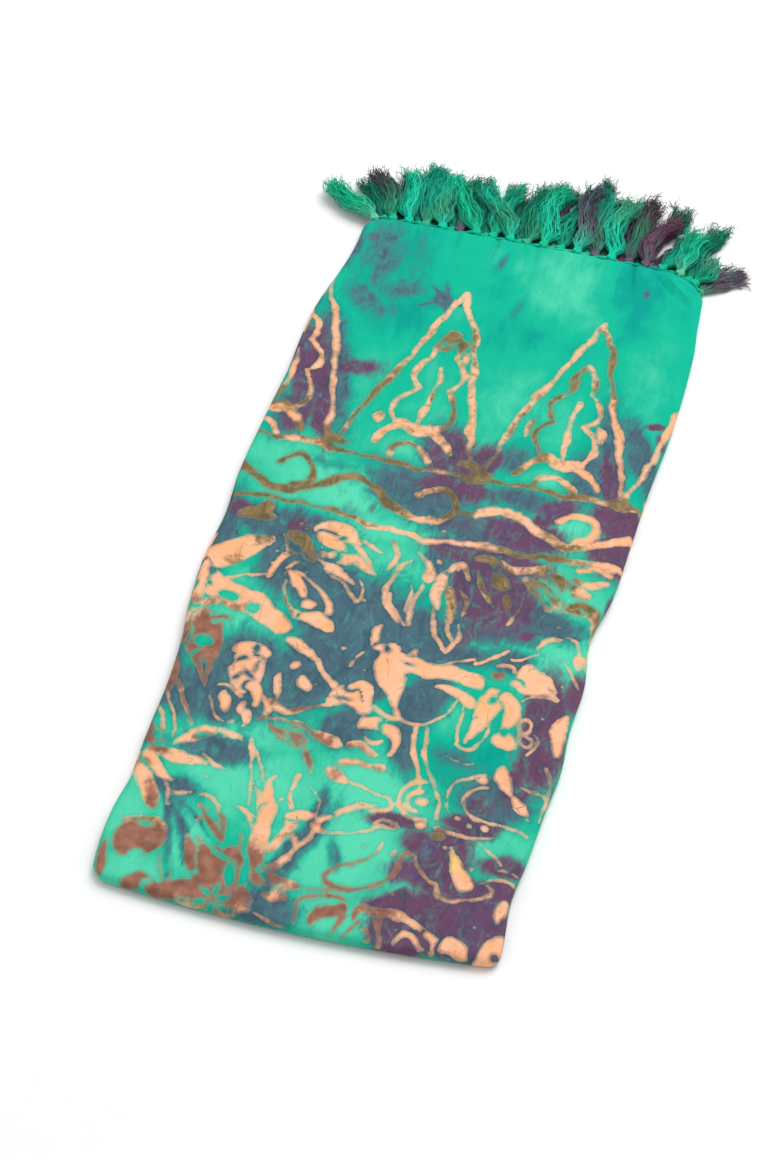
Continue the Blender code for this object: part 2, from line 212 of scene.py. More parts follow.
def clamp01(value):
    return np.clip(value, 0.0, 1.0)


def smoothstep(low, high, value):
    """0 at low, 1 at high, with a soft start and end."""
    t = clamp01((value - low) / (high - low))
    return t * t * (3.0 - 2.0 * t)


def section_value(name, along):
    """A smooth curve through one column of the section table."""
    places = np.array([row.along for row in SECTIONS], float)
    values = np.array([getattr(row, name) for row in SECTIONS], float)
    slopes = np.gradient(values, places)
    along = np.clip(along, places[0], places[-1])
    i = np.clip(np.searchsorted(places, along) - 1, 0, len(places) - 2)
    span = places[i + 1] - places[i]
    t = (along - places[i]) / span
    rise = t * t * (3.0 - 2.0 * t)
    start = t * (1.0 - t) ** 2 * span * slopes[i]
    end = t * t * (t - 1.0) * span * slopes[i + 1]
    return values[i] * (1.0 - rise) + values[i + 1] * rise + start + end


def plan_point(u, v, inset):
    """The plan position for u from -1 to 1 across and v from -1 to 1 along, inset from the edge."""
    half_width = HALF_WIDTH - inset
    half_length = HALF_LENGTH - inset
    across = u * half_width
    along = v * half_length
    moved_across = across
    moved_along = along
    for corner in CORNERS:
        r = np.maximum(corner.radius - inset, LEAST_RADIUS)
        a = clamp01((corner.side * across - half_width) / r + 1.0)
        b = clamp01((corner.end * along - half_length) / r + 1.0)
        moved_across = moved_across - corner.side * r * a * (1.0 - np.sqrt(1.0 - b * b / 2.0))
        moved_along = moved_along - corner.end * r * b * (1.0 - np.sqrt(1.0 - a * a / 2.0))
    u = moved_across / half_width
    near_share = (half_length - moved_along) / (2.0 * half_length)
    y = MIDDLE + moved_along + (NEAR_BOW * u * u + NEAR_SKEW * u) * near_share
    y = y - HEM_BOW * u * u * (1.0 - near_share)
    left = section_value("left", y) + inset
    right = section_value("right", y) - inset
    x = (left + right) / 2.0 + u * (right - left) / 2.0
    return x, y


def fold_rise(folds, x, y):
    """Soft ridges and troughs."""
    rise = np.zeros_like(np.asarray(x, float))
    for fold in folds:
        a = math.radians(fold.heading)
        lengthwise = (x - fold.x) * math.cos(a) + (y - fold.y) * math.sin(a)
        sideways = (y - fold.y) * math.cos(a) - (x - fold.x) * math.sin(a)
        shape = -(lengthwise / fold.length) ** 2 - (sideways / fold.width) ** 2
        rise = rise + fold.rise * np.exp(shape)
    return rise


def top_height(x, y):
    """The height of the upper leaf's outer face, as the solid has it."""
    height = STACK_HEIGHT + section_value("swell", y) + fold_rise(FOLDS, x, y)
    for ripple in RIPPLES:
        phase = x / ripple.x_stretch + y / ripple.y_stretch + ripple.start
        height = height + ripple.size * np.sin(phase)
    return height


def wrap_weight(x, y, lead, change):
    """1 where the upper leaf turns under at a fold, 0 where it ends in a cut edge or selvedge."""
    near_start = NEAR_WRAP_START + lead
    near = 1.0 - smoothstep(near_start - change, near_start, y)
    right_end = RIGHT_WRAP_END + lead
    right = 1.0 - smoothstep(right_end - change, right_end, y)
    return np.maximum(near, np.where(x > 0, right, 0.0))


def side_profile(turn, height, offset):
    """Inset and height on the rounded side, for turn from 0 at the shoulder to 1 underneath."""
    angle = math.pi * turn
    inset = SIDE_REACH - (SIDE_REACH - offset) * np.sin(angle)
    z = height / 2.0 + (height / 2.0 - offset) * np.cos(angle)
    return inset, z


# Meshes laid out as a grid with rings around its rim

def grid_places(cells):
    """u and v of every grid vertex, row by row, and the vertex numbers around the rim."""
    u, v = np.meshgrid(np.linspace(-1.0, 1.0, cells[0] + 1), np.linspace(-1.0, 1.0, cells[1] + 1))
    number = np.arange(u.size).reshape(u.shape)
    rim = np.concatenate([number[0, :-1], number[:-1, -1], number[-1, :0:-1], number[:0:-1, 0]])
    return u.ravel(), v.ravel(), number, rim


def grid_faces(number):
    corners = [number[:-1, :-1], number[:-1, 1:], number[1:, 1:], number[1:, :-1]]
    return np.stack(corners, axis=-1).reshape(-1, 4)


def ring_faces(upper, lower):
    """Faces between two closed rings of vertex numbers, seen from outside."""
    return np.stack([upper, lower, np.roll(lower, -1), np.roll(upper, -1)], axis=-1)


def make_mesh(name, points, faces, smooth=True):
    data = bpy.data.meshes.new(name)
    data.from_pydata((np.asarray(points) * MM).tolist(), [], np.asarray(faces).tolist())
    data.polygons.foreach_set("use_smooth", [smooth] * len(data.polygons))
    data.update()
    thing = bpy.data.objects.new(name, data)
    bpy.context.scene.collection.objects.link(thing)
    return thing


def set_field(thing, name, values):
    """Keeps one number for each vertex, for the material to read."""
    field = thing.data.attributes.new(name, "FLOAT", "POINT")
    field.data.foreach_set("value", np.asarray(values, np.float32))


# How far the cloth's own origin lies from the frame's
leaf_low, leaf_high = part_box("upper_leaf")
outline_u, outline_v = (np.linspace(-1, 1, count) for count in OUTLINE_SAMPLES)
leaf_x, leaf_y = plan_point(*np.meshgrid(outline_u, outline_v), 0.0)
SHIFT = (leaf_low[0] / MM - leaf_x.min(), leaf_low[1] / MM - leaf_y.min(), 0.0)


def cloth_mesh():
    """The batik cloth: its top, its turned sides and a thin lip. Gives pattern places too."""
    u, v, number, rim = grid_places(CLOTH_CELLS)
    x, y = plan_point(u, v, SIDE_REACH)
    z = top_height(x, y) + fold_rise(CREASES, x, y)
    points = [np.stack([x, y, z], axis=1)]
    places = [np.stack([x, y], axis=1)]
    faces = [grid_faces(number)]
    shoulder_x, shoulder_y = x[rim], y[rim]
    outer_x, outer_y = plan_point(u[rim], v[rim], 0.0)
    reach = np.hypot(outer_x - shoulder_x, outer_y - shoulder_y)
    out_x = (outer_x - shoulder_x) / reach
    out_y = (outer_y - shoulder_y) / reach
    height = top_height(shoulder_x, shoulder_y)
    crease = fold_rise(CREASES, shoulder_x, shoulder_y)
    weight = wrap_weight(shoulder_x, shoulder_y, 0.0, WRAP_CHANGE)
    end_turn = CUT_TURN + (WRAP_TURN - CUT_TURN) * weight
    angle = math.pi * end_turn
    before = rim
    last = np.stack([shoulder_x, shoulder_y, z[rim]], axis=1)
    travelled = np.zeros(len(rim))
    count = number.size
    steps = [(k / CLOTH_RINGS, 0.0, 0.0) for k in range(1, CLOTH_RINGS + 1)]
    steps += [(1.0, onward, inward) for onward, inward in LIP]
    for share, onward, inward in steps:
        inset, ring_z = side_profile(end_turn * share, height, 0.0)
        inset = inset - onward * np.cos(angle) + inward * np.sin(angle)
        ring_z = ring_z - onward * np.sin(angle) - inward * np.cos(angle)
        ring_z = ring_z + crease * np.cos(angle * share).clip(0.0)
        ring_x, ring_y = plan_point(u[rim], v[rim], inset)
        ring = np.stack([ring_x, ring_y, np.maximum(ring_z, LEAST_HEIGHT)], axis=1)
        travelled = travelled + np.linalg.norm(ring - last, axis=1)
        last = ring
        points.append(ring)
        places.append(np.stack([shoulder_x + out_x * travelled,
                                shoulder_y + out_y * travelled], axis=1))
        after = np.arange(count, count + len(rim))
        faces.append(ring_faces(before, after))
        before = after
        count += len(rim)
    return np.concatenate(points), np.concatenate(places), np.concatenate(faces)


def edge_levels(x, y):
    """Inset and height down the layered edges: every leaf is a rounded lip between grooves."""
    around = y + AROUND_SHARE * x
    steady = smoothstep(HEM_END - STEADY_FROM, HEM_END - STEADY_BY, y)
    leaf_pitch = LAYER_PITCH / LEAVES_PER_LAYER
    levels = []
    for layer in LAYERS:
        wave = np.sin(2.0 * math.pi * around / layer.wander_length + layer.height)
        edge = layer.inset + layer.wander * wave * (1.0 - steady)
        for leaf in range(LEAVES_PER_LAYER):
            middle = layer.height + leaf_pitch * ((LEAVES_PER_LAYER - 1) / 2.0 - leaf)
            own = np.sin(around / LEAF_WANDER_STRETCH + LEAF_WANDER_START * middle)
            own_edge = edge + LEAF_WANDER * (own + 1.0) / 2.0
            for part in LIP_PARTS:
                depth = GROOVE_INSET - own_edge
                lip = own_edge + depth * (1.0 - math.sqrt(1.0 - part * part))
                levels.append((lip, middle - part * leaf_pitch / 2.0))
    return levels


def edge_mesh():
    """The hidden layers as they show from the side: layered cut edges, folded sides, flat foot."""
    offset = WALL + LAYER_GAP
    u, v, number, rim = grid_places(EDGE_CELLS)
    shoulder_x, shoulder_y = plan_point(u[rim], v[rim], SIDE_REACH)
    height = top_height(shoulder_x, shoulder_y)
    weight = wrap_weight(shoulder_x, shoulder_y, WRAP_CLEARANCE, LAYER_CHANGE)
    levels = edge_levels(shoulder_x, shoulder_y)
    rings = []
    for share in SHOULDER_SHARES:
        rings.append(side_profile(np.full(len(rim), GROOVE_TURN * share), height, offset))
    for index, (layer_inset, layer_z) in enumerate(levels):
        turn = GROOVE_TURN + (1.0 - GROOVE_TURN) * (index + 1) / (len(levels) + 1)
        fold_offset = offset + FOLD_ALLOWANCE * turn * turn
        fold_inset, fold_z = side_profile(turn, height, fold_offset)
        rings.append((layer_inset + (fold_inset - layer_inset) * weight,
                      layer_z + (fold_z - layer_z) * weight))
    under_inset = LOWEST_LAYER_INSET + (SIDE_REACH - LOWEST_LAYER_INSET) * weight
    under_z = LOWEST_LAYER_HEIGHT + (FOLD_UNDERSIDE_HEIGHT - LOWEST_LAYER_HEIGHT) * weight
    rings.append((under_inset, under_z))
    rings.append((np.full(len(rim), FOOT_INSET), np.zeros(len(rim))))
    points, faces = [], []
    for index, (inset, z) in enumerate(rings):
        x, y = plan_point(u[rim], v[rim], inset)
        points.append(np.stack([x, y, z], axis=1))
        if index:
            after = np.arange(len(rim)) + index * len(rim)
            faces.append(ring_faces(after - len(rim), after))
    foot_start = (len(rings) - 1) * len(rim)
    x, y = plan_point(u, v, FOOT_INSET)
    points.append(np.stack([x, y, np.zeros(len(x))], axis=1))
    base = len(rings) * len(rim)
    bottom = np.array(number) + base
    bottom_rim = rim + base
    remap = np.arange(base + number.size)
    remap[bottom_rim] = foot_start + np.arange(len(rim))
    faces.append(remap[grid_faces(bottom)[:, ::-1]])
    return np.concatenate(points), np.concatenate(faces)


# The batik pattern: waxed areas that stay peach, given as depths inside them
FAR = 30.0
MARGIN = 14.0
OUTLINE = 1.4
BOW_STEPS = 12
ARC_STEPS = 20

# The thin broken gap around a petal: its half width, and the strokes that have one
MOAT = 0.75
MOAT_FROM = -0.3
MOAT_LEAST = 2.9
MOAT_MOST = 9.5
MOAT_X_STRETCH = 4.7
MOAT_Y_STRETCH = 6.3

# A line's half width: its share at the ends, what the middle adds, and how uneven it is
LINE_END_SHARE = 0.76
LINE_MIDDLE_SHARE = 0.24
SLOW_CHANGE = 0.16
SLOW_TURN = 11.0
FINE_CHANGE = 0.12
FINE_TURN = 23.0

# Small drops of wax: how many, where, their half width, and their length in half widths
DRIP_COUNT = 60
DRIP_SEED = 7
DRIP_X = (-145.0, 145.0)
DRIP_Y = (-345.0, 20.0)
DRIP_SIZE = (0.7, 1.3)
DRIP_LENGTH = (1.0, 1.8)


class Wax:
    """The depth inside the waxed areas at every place of the cloth, below zero outside."""

    def __init__(self, places):
        self.x = places[:, 0]
        self.y = places[:, 1]
        self.depth = np.full(len(places), -FAR)

    def near(self, x, y, reach):
        return np.nonzero((np.abs(self.x - x) < reach) & (np.abs(self.y - y) < reach))[0]

    def put(self, here, depth, cut=False):
        if cut:
            self.depth[here] = np.minimum(self.depth[here], -depth)
        else:
            self.depth[here] = np.maximum(self.depth[here], depth)

    def path(self, points, widths, moat=False):
        """A line of changing half width through a row of points, with a thin gap around a petal."""
        points = np.asarray(points, float)
        low, high = points.min(axis=0), points.max(axis=0)
        middle = (low + high) / 2.0
        here = self.near(*middle, np.max(high - low) / 2.0 + MARGIN)
        x, y = self.x[here], self.y[here]
        depth = np.full(len(here), -FAR)
        for (ax, ay), (bx, by), aw, bw in zip(points, points[1:], widths, widths[1:]):
            dx, dy = bx - ax, by - ay
            t = clamp01(((x - ax) * dx + (y - ay) * dy) / (dx * dx + dy * dy))
            gap = np.hypot(x - ax - t * dx, y - ay - t * dy)
            depth = np.maximum(depth, aw + (bw - aw) * t - gap)
        if moat:
            ring = MOAT - np.abs(depth + MOAT)
            turn = x / MOAT_X_STRETCH + y / MOAT_Y_STRETCH + points[0, 0]
            broken = np.sin(turn) > MOAT_FROM
            self.put(here[broken], ring[broken], cut=True)
        self.put(here, depth)

    def line(self, x, y, to_x, to_y, bow, width):
        """A bowed line between two points, thinner at its ends. A bow above zero is to its left."""
        t = np.linspace(0.0, 1.0, BOW_STEPS + 1)
        dx, dy = to_x - x, to_y - y
        size = math.hypot(dx, dy)
        swell = 4.0 * bow * t * (1.0 - t)
        points = np.stack([x + dx * t - dy / size * swell, y + dy * t + dx / size * swell], axis=1)
        uneven = SLOW_CHANGE * np.sin(SLOW_TURN * t + x) + FINE_CHANGE * np.sin(FINE_TURN * t + y)
        even = LINE_END_SHARE + LINE_MIDDLE_SHARE * np.sin(math.pi * t)
        self.path(points, width * (even + uneven))

    def stroke(self, *numbers):
        """A brush stroke through three places, each with its half width."""
        nodes = np.array(numbers, float).reshape(3, 3)
        t = np.linspace(0.0, 1.0, BOW_STEPS + 1)[:, None]
        blend = nodes[0] * (1 - t) * (1 - 2 * t) + nodes[1] * 4 * t * (1 - t)
        blend = blend + nodes[2] * t * (2 * t - 1)
        widths = np.clip(blend[:, 2], nodes[:, 2].min(), nodes[:, 2].max())
        self.path(blend[:, :2], widths, moat=MOAT_LEAST < nodes[1, 2] < MOAT_MOST)

    def arc(self, x, y, radius, start, end, width, end_width=None):
        """Part of a circle, from one angle to another in degrees, with its half width at each."""
        a = np.radians(np.linspace(start, end, ARC_STEPS + 1))
        points = np.stack([x + radius * np.cos(a), y + radius * np.sin(a)], axis=1)
        last = width if end_width is None else end_width
        self.path(points, np.linspace(width, last, ARC_STEPS + 1))

    def spot(self, x, y, length, width, heading=0.0, style="full"):
        """An oval with its half length and half width."""
        here = self.near(x, y, max(length, width) + MARGIN)
        along, across = self.turned(here, x, y, heading)
        size = np.hypot(along / length, across / width)
        self.shape(here, (1.0 - size) * min(length, width), style)

    def turned(self, here, x, y, heading):
        a = math.radians(heading)
        dx, dy = self.x[here] - x, self.y[here] - y
        return dx * math.cos(a) + dy * math.sin(a), dy * math.cos(a) - dx * math.sin(a)

    def shape(self, here, depth, style):
        """Fills a shape, cuts it out, or draws its outline."""
        if style == "full":
            self.put(here, depth)
        elif style == "cut":
            self.put(here, depth, cut=True)
        else:
            self.put(here, OUTLINE - np.abs(depth))

    def add_drips(self):
        """Small drops of wax, scattered over the floral field."""
        rng = np.random.default_rng(DRIP_SEED)
        for _ in range(DRIP_COUNT):
            x = rng.uniform(*DRIP_X)
            y = rng.uniform(*DRIP_Y)
            size = rng.uniform(*DRIP_SIZE)
            self.spot(x, y, size * rng.uniform(*DRIP_LENGTH), size, rng.uniform(0.0, 180.0))


# Triangles of the border: the apex, the two feet, and the height of the feet
TUMPALS = table(
    "x apex left right foot",
    (-147, 276, -203, -95, 84),
    (-31, 271, -88, 16, 92),
    (83, 267, 27, 136, 84),
    (191, 266, 139, 245, 84),
)

# Scallops of the leaf in each triangle, from its tip down: the height and half width of each
# notch, and how far the scallop above it bows out
LEAF_TIP = 133.0
SCALLOPS = table(
    "height half_width bow",
    (101, 9, 4),
    (66, 12, 10),
    (26, 18, 8),
)

# The other parts of each triangle. Heights are above its feet, widths are half widths
SIDE_BOW = -3.0
SIDE_WIDTH = 3.0
FOOT_DROP = 5.0
FOOT_SPOT = (10.0, 5.0)
SCALLOP_WIDTH = 2.8
LEAF_FOOT = 22.0
LEAF_FOOT_BOW = 2.0
LEAF_FOOT_WIDTH = 3.4
STEM_TOP = 88.0
STEM_FOOT = 24.0
STEM_BOW = 1.0
STEM_WIDTH = 2.6
LEAF_SPOT_HEIGHT = 21.0
LEAF_SPOT = (12.0, 5.5)
ARCHES = table(
    "x y radius start end width",
    (-1.0, -8.0, 33.0, 158.0, 20.0, 3.8),
    (-1.0, -9.0, 16.0, 178.0, 2.0, 3.0),
)

# Lines across the cloth: start, end, bow and half width
BORDER_LINES = table(
    "x y to_x to_y bow width",
    (-160, 77, -30, 77, 0, 3.2),
    (-30, 77, 60, 75, -2, 3.0),
    (60, 75, 170, 77, 0, 3.0),
    (-160, 12, -70, 14, 2, 2.8),
    (-72, 13, 10, 6, -1, 3.2),
    (8, 7, 90, 9, 2, 3.4),
    (88, 9, 165, 15, 1, 4.2),
    (22, 40, 64, 46, 1, 5.0),
)

# The wave scroll between them: its line, and the curls that end in a drop
WAVE_HALF_WIDTH = 4.2
WAVE_STEPS = 50
WAVE_CHANGE = 0.14
WAVE_CHANGE_STRETCH = 7.0
CURL_END_WIDTH = 3.1
CURL_DROP = (3.7, 3.3)
WAVE_PARTS = table(
    "start end crest top trough length",
    (-160.0, -4.0, -64.0, 52.0, 24.5, 110.0),
    (56.0, 165.0, 58.0, 46.5, 24.5, 100.0),
)
CURLS = table(
    "x y radius start end",
    (-113, 45.5, 15.0, -80, 156),
    (0, 41.5, 15.5, -88, 150),
    (112, 43.5, 13.5, -75, 160),
)


def draw_tumpal(wax, row):
    """A border triangle with its scalloped leaf, stem and two arches."""
    for foot, side in ((row.left, 1.0), (row.right, -1.0)):
        wax.line(row.x, row.apex, foot, row.foot, SIDE_BOW * side, SIDE_WIDTH)
        wax.spot(foot, row.foot - FOOT_DROP, *FOOT_SPOT)
        x, y = row.x, row.foot + LEAF_TIP
        for notch in SCALLOPS:
            to_x, to_y = row.x - side * notch.half_width, row.foot + notch.height
            wax.line(x, y, to_x, to_y, -notch.bow * side, SCALLOP_WIDTH)
            x, y = to_x, to_y
        wax.line(x, y, row.x, row.foot + LEAF_FOOT, LEAF_FOOT_BOW * side, LEAF_FOOT_WIDTH)
    wax.line(row.x, row.foot + STEM_TOP, row.x, row.foot + STEM_FOOT, STEM_BOW, STEM_WIDTH)
    wax.spot(row.x, row.foot + LEAF_SPOT_HEIGHT, *LEAF_SPOT)
    for arch in ARCHES:
        wax.arc(row.x + arch.x, row.foot + arch.y, *arch[2:])


def draw_border(wax):
    """Two lines across the cloth with a wave scroll between them."""
    for row in BORDER_LINES:
        wax.line(*row)
    for part in WAVE_PARTS:
        x = np.linspace(part.start, part.end, WAVE_STEPS)
        swing = np.cos(2.0 * math.pi * (x - part.crest) / part.length)
        y = (part.top + part.trough) / 2.0 + (part.top - part.trough) / 2.0 * swing
        change = WAVE_CHANGE * np.sin(x / WAVE_CHANGE_STRETCH)
        wax.path(np.stack([x, y], axis=1), WAVE_HALF_WIDTH * (1.0 + change))
    for curl in CURLS:
        wax.arc(*curl, WAVE_HALF_WIDTH, CURL_END_WIDTH)
        tip = math.radians(curl.end)
        tip_x = curl.x + curl.radius * math.cos(tip)
        wax.spot(tip_x, curl.y + curl.radius * math.sin(tip), *CURL_DROP)


# The floral field, from the top left down: three places along each stroke, each with its half
# width
LEFT_BLOSSOM = table(
    STROKE_COLUMNS,
    (-150, -61, 8, -131, -42, 11.5, -108, -24, 3.5),
    (-147, -72, 12, -112, -86, 11, -78, -102, 8),
    (-130, -90, 4, -142, -97, 3.5, -148, -106, 2),
    (-152, -64, 9, -149, -78, 8, -147, -94, 5),
    (-99, -18, 0.9, -92, -33, 1.4, -85, -38, 1.8),
    (-93, -39, 3.2, -98, -50, 3.4, -99, -61, 1.6),
    (-80, -44, 1.7, -86, -50, 1.8, -88, -58, 0.9),
    (-128, -66, 0.7, -112, -62, 1.3, -98, -58, 1.1),
    (-140, -106, 7, -131, -124, 14, -124, -146, 8),
    (-124, -146, 8, -118, -158, 5, -112, -171, 1.2),
    (-149, -108, 3, -146, -121, 3.5, -142, -135, 1.6),
    (-144, -150, 4, -142, -164, 5.5, -137, -180, 2),
    (-118, -106, 1.2, -124, -103, 3, -133, -108, 3),
)
TOP_GROUP = table(
    STROKE_COLUMNS,
    (-95, -15, 2, -84, -24, 6.5, -70, -37, 1.6),
    (-76, -10, 3.5, -63, -5, 9, -43, -12, 2.6),
    (-70, -14, 6, -58, -19, 5, -48, -28, 3),
    (-68, -34, 2, -54, -40, 4.6, -37, -54, 1.6),
    (-48, -30, 6, -36, -32, 5, -24, -39, 0.9),
    (-48, -14, 1.4, -36, -22, 2.4, -24, -38, 0.8),
    (-60, -43, 0.9, -44, -56, 1.1, -31, -71, 2.0),
    (-33, -48, 0.7, -28, -58, 1.2, -31, -71, 1.8),
    (-84, -30, 1.2, -80, -38, 1.6, -70, -40, 1.2),
    (-40, -8, 2.2, -30, -14, 1.4, -22, -16, 0.8),
)
TEAR_LEAF = table(
    STROKE_COLUMNS,
    (-87, -62, 1.1, -82, -80, 1.5, -66, -93, 2.4),
    (-84, -55, 2.6, -78, -62, 4.6, -73, -72, 3.4),
    (-80, -53, 1.5, -60, -64, 2.5, -49, -82, 4),
    (-64, -92, 4, -54, -93, 7, -43, -100, 1.4),
    (-78, -82, 0.7, -70, -88, 1.1, -60, -87, 0.8),
)
GARLAND = table(
    STROKE_COLUMNS,
    (-69, -114, 3, -57, -121, 4.4, -45, -127, 2),
    (-45, -127, 2, -34, -136, 2.6, -22, -148, 2.6),
    (-66, -146, 0.9, -64, -154, 2.7, -60, -168, 1),
    (-64, -170, 2.6, -54, -177, 2.6, -41, -173, 3.4),
    (-41, -173, 1.8, -32, -168, 1.1, -24, -164, 1.1),
    (-22, -160, 5, -10, -154, 10, 2, -160, 9),
    (-10, -146, 4, -2, -144, 5, 4, -152, 4),
    (-95, -131, 8, -90, -143, 12, -82, -160, 7),
    (-104, -130, 4, -98, -127, 4, -84, -128, 5),
    (-102, -148, 2.4, -94, -158, 3, -84, -166, 3),
    (-80, -160, 5, -75, -168, 3.6, -72, -178, 2),
    (-102, -166, 1.2, -92, -164, 1.6, -84, -172, 1.2),
    (-106, -178, 1.2, -100, -190, 1.5, -92, -196, 1.2),
    (-73, -168, 1.4, -64, -176, 2.8, -64, -189, 2),
)
HANGING_LEAVES = table(
    STROKE_COLUMNS,
    (-1, -16, 1.4, -12, -46, 2.1, 2, -77, 2.2),
    (14, -34, 1.6, 10, -54, 1.8, 11, -78, 2.6),
    (-8, -52, 1.2, -2, -66, 1.8, 8, -79, 2.0),
    (4, -40, 0.8, 7, -52, 1.2, 6, -66, 0.8),
    (24, -46, 1.2, 28, -70, 1.7, 46, -93, 2),
    (45, -66, 1.1, 50, -78, 2.2, 47, -92, 2.2),
    (33, -60, 1.3, 39, -72, 2, 48, -83, 1.2),
    (26, -24, 4, 24, -40, 5, 26, -57, 1.4),
    (34, -38, 3, 36, -52, 4, 38, -67, 2),
    (30, -21, 2.6, 38, -12, 3, 46, -22, 2),
    (4, -6, 2, 12, -16, 3, 16, -30, 4),
    (40, -34, 1.2, 46, -44, 2, 45, -58, 1),
    (-20, -4, 1.6, -12, -16, 2.2, -16, -32, 0.9),
    (51, -12, 0.9, 58, -28, 2.4, 66, -45, 0.8),
    (86, -26, 0.7, 86, -44, 1.2, 80, -60, 1.2),
    (46, -2, 2, 55, -1, 4, 62, -7, 2),
    (66, -2, 2.6, 80, -6, 4.4, 93, -2, 2.6),
    (64, -14, 3, 70, -20, 6, 74, -27, 1.6),
    (75, -34, 1.6, 77, -41, 3, 78, -48, 1.2),
)
RIGHT_TOP = table(
    STROKE_COLUMNS,
    (99, -4, 7, 104, -18, 10, 108, -34, 6),
    (116, -35, 3.6, 128, -31, 6.5, 140, -36, 4.6),
    (128, -26, 3.6, 141, -38, 4.6, 147, -56, 1.8),
    (142, -50, 2.4, 147, -66, 2, 149, -86, 0.9),
    (120, -2, 3, 131, -8, 4, 144, -2, 3),
    (124, 6, 3, 134, 9, 3.4, 146, 6, 2.4),
    (106, -75, 0.9, 112, -68, 2.6, 123, -63, 1.2),
    (70, -99, 1.2, 79, -91, 2.2, 87, -82, 1.0),
    (92, -88, 0.9, 100, -85, 1.5, 109, -80, 0.9),
    (126, -60, 0.8, 136, -66, 1.3, 143, -84, 0.9),
    (90, -12, 1.2, 95, -24, 1.6, 106, -38, 1.2),
    (128, -84, 0.8, 138, -92, 1.4, 146, -104, 0.9),
    (88, -14, 3, 98, -22, 7, 112, -30, 6),
    (106, -6, 5, 116, -12, 7, 130, -18, 4),
)
CENTRE_BLOSSOM = table(
    STROKE_COLUMNS,
    (-8, -82, 1.1, -11, -94, 4.4, -4, -106, 3.6),
    (-6, -104, 3, 4, -106, 7, 10, -118, 10),
    (6, -112, 9, 11, -124, 12, 15, -134, 9),
    (12, -128, 10, 21, -142, 6, 26, -157, 2.2),
    (24, -99, 2.2, 24, -106, 4, 30, -114, 6),
    (14, -114, 8, 42, -113, 7.5, 76, -115, 7),
    (48, -128, 1.4, 60, -129, 4, 74, -134, 6),
    (27, -105, 1.1, 44, -106, 1.4, 68, -95, 0.9),
    (26, -156, 2.6, 38, -167, 1.7, 55, -157, 1.3),
    (55, -157, 1.3, 61, -148, 1.2, 65, -139, 1),
    (12, -158, 1.6, 22, -164, 2.4, 32, -163, 1.8),
    (-14, -112, 0.7, -16, -120, 0.9, -15, -128, 0.6),
)
RIGHT_BLOSSOM = table(
    STROKE_COLUMNS,
    (91, -123, 7, 88, -136, 9, 84, -150, 6),
    (84, -150, 5.6, 81, -160, 4, 80, -169, 1.4),
    (101, -125, 6, 107, -138, 6.6, 104, -151, 3.6),
    (75, -129, 0.8, 70, -150, 1.2, 75, -171, 1.6),
    (75, -173, 1.7, 86, -173, 1.3, 93, -148, 0.9),
    (105, -92, 2.6, 113, -104, 10, 128, -113, 4.4),
    (104, -110, 4, 114, -114, 4, 134, -117, 1.6),
    (112, -124, 0.8, 118, -120, 1.3, 134, -119, 1),
    (145, -130, 2.4, 143, -147, 6, 142, -165, 2.4),
    (126, -150, 0.8, 128, -158, 1.2, 121, -168, 1),
    (84, -98, 1.2, 92, -94, 1.6, 99, -99, 1.0),
    (42, -168, 2.1, 48, -195, 2, 56, -221, 1.3),
    (51, -166, 1.5, 57, -195, 1.7, 70, -222, 1.3),
    (70, -222, 1.3, 74, -230, 1.3, 75, -240, 1.1),
    (3, -179, 2.4, 12, -172, 5.4, 24, -174, 5),
    (24, -174, 5, 32, -183, 4, 29, -197, 2.4),
    (0, -196, 3, 8, -194, 3.4, 18, -198, 2.2),
    (7, -186, 0.9, 14, -188, 1.6, 21, -185, 0.9),
    (70, -184, 0.6, 78, -189, 0.9, 88, -186, 0.6),
)
RIGHT_LOOPS = table(
    STROKE_COLUMNS,
    (98, -196, 2.4, 84, -203, 1.7, 77, -216, 1.5),
    (77, -216, 1.5, 78, -226, 1.3, 83, -235, 0.9),
    (104, -203, 0.9, 92, -214, 1.8, 92, -226, 1.5),
    (92, -226, 1.5, 98, -231, 1.8, 116, -232, 1.3),
    (116, -232, 1.1, 130, -234, 1.2, 143, -238, 1.7),
    (108, -186, 3.2, 112, -194, 6, 121, -205, 1.8),
    (124, -207, 1.6, 129, -213, 4.4, 136, -219, 1.4),
    (125, -197, 0.7, 134, -197, 1.2, 146, -206, 0.9),
    (138, -176, 1.4, 143, -192, 1.6, 146, -222, 1),
    (76, -248, 1.7, 92, -251, 1.6, 118, -243, 1.4),
    (38, -257, 0.9, 46, -251, 1.6, 54, -255, 1.1),
    (-2, -212, 4, 12, -208, 2.6, 26, -210, 3.4),
    (4, -222, 0.9, 17, -229, 1.4, 38, -234, 1.1),
    (38, -234, 1.1, 42, -242, 2.4, 33, -246, 3.2),
    (31, -242, 2.6, 18, -248, 3.3, 3, -257, 3.2),
    (3, -257, 3, -4, -264, 4, 4, -270, 2.4),
    (4, -270, 1.4, 20, -270, 1.1, 36, -262, 1.3),
    (36, -262, 1.3, 42, -257, 1.3, 52, -256, 1.5),
    (52, -238, 1.3, 60, -245, 1.2, 69, -247, 1.3),
    (108, -250, 0.7, 120, -256, 1, 130, -268, 0.7),
)
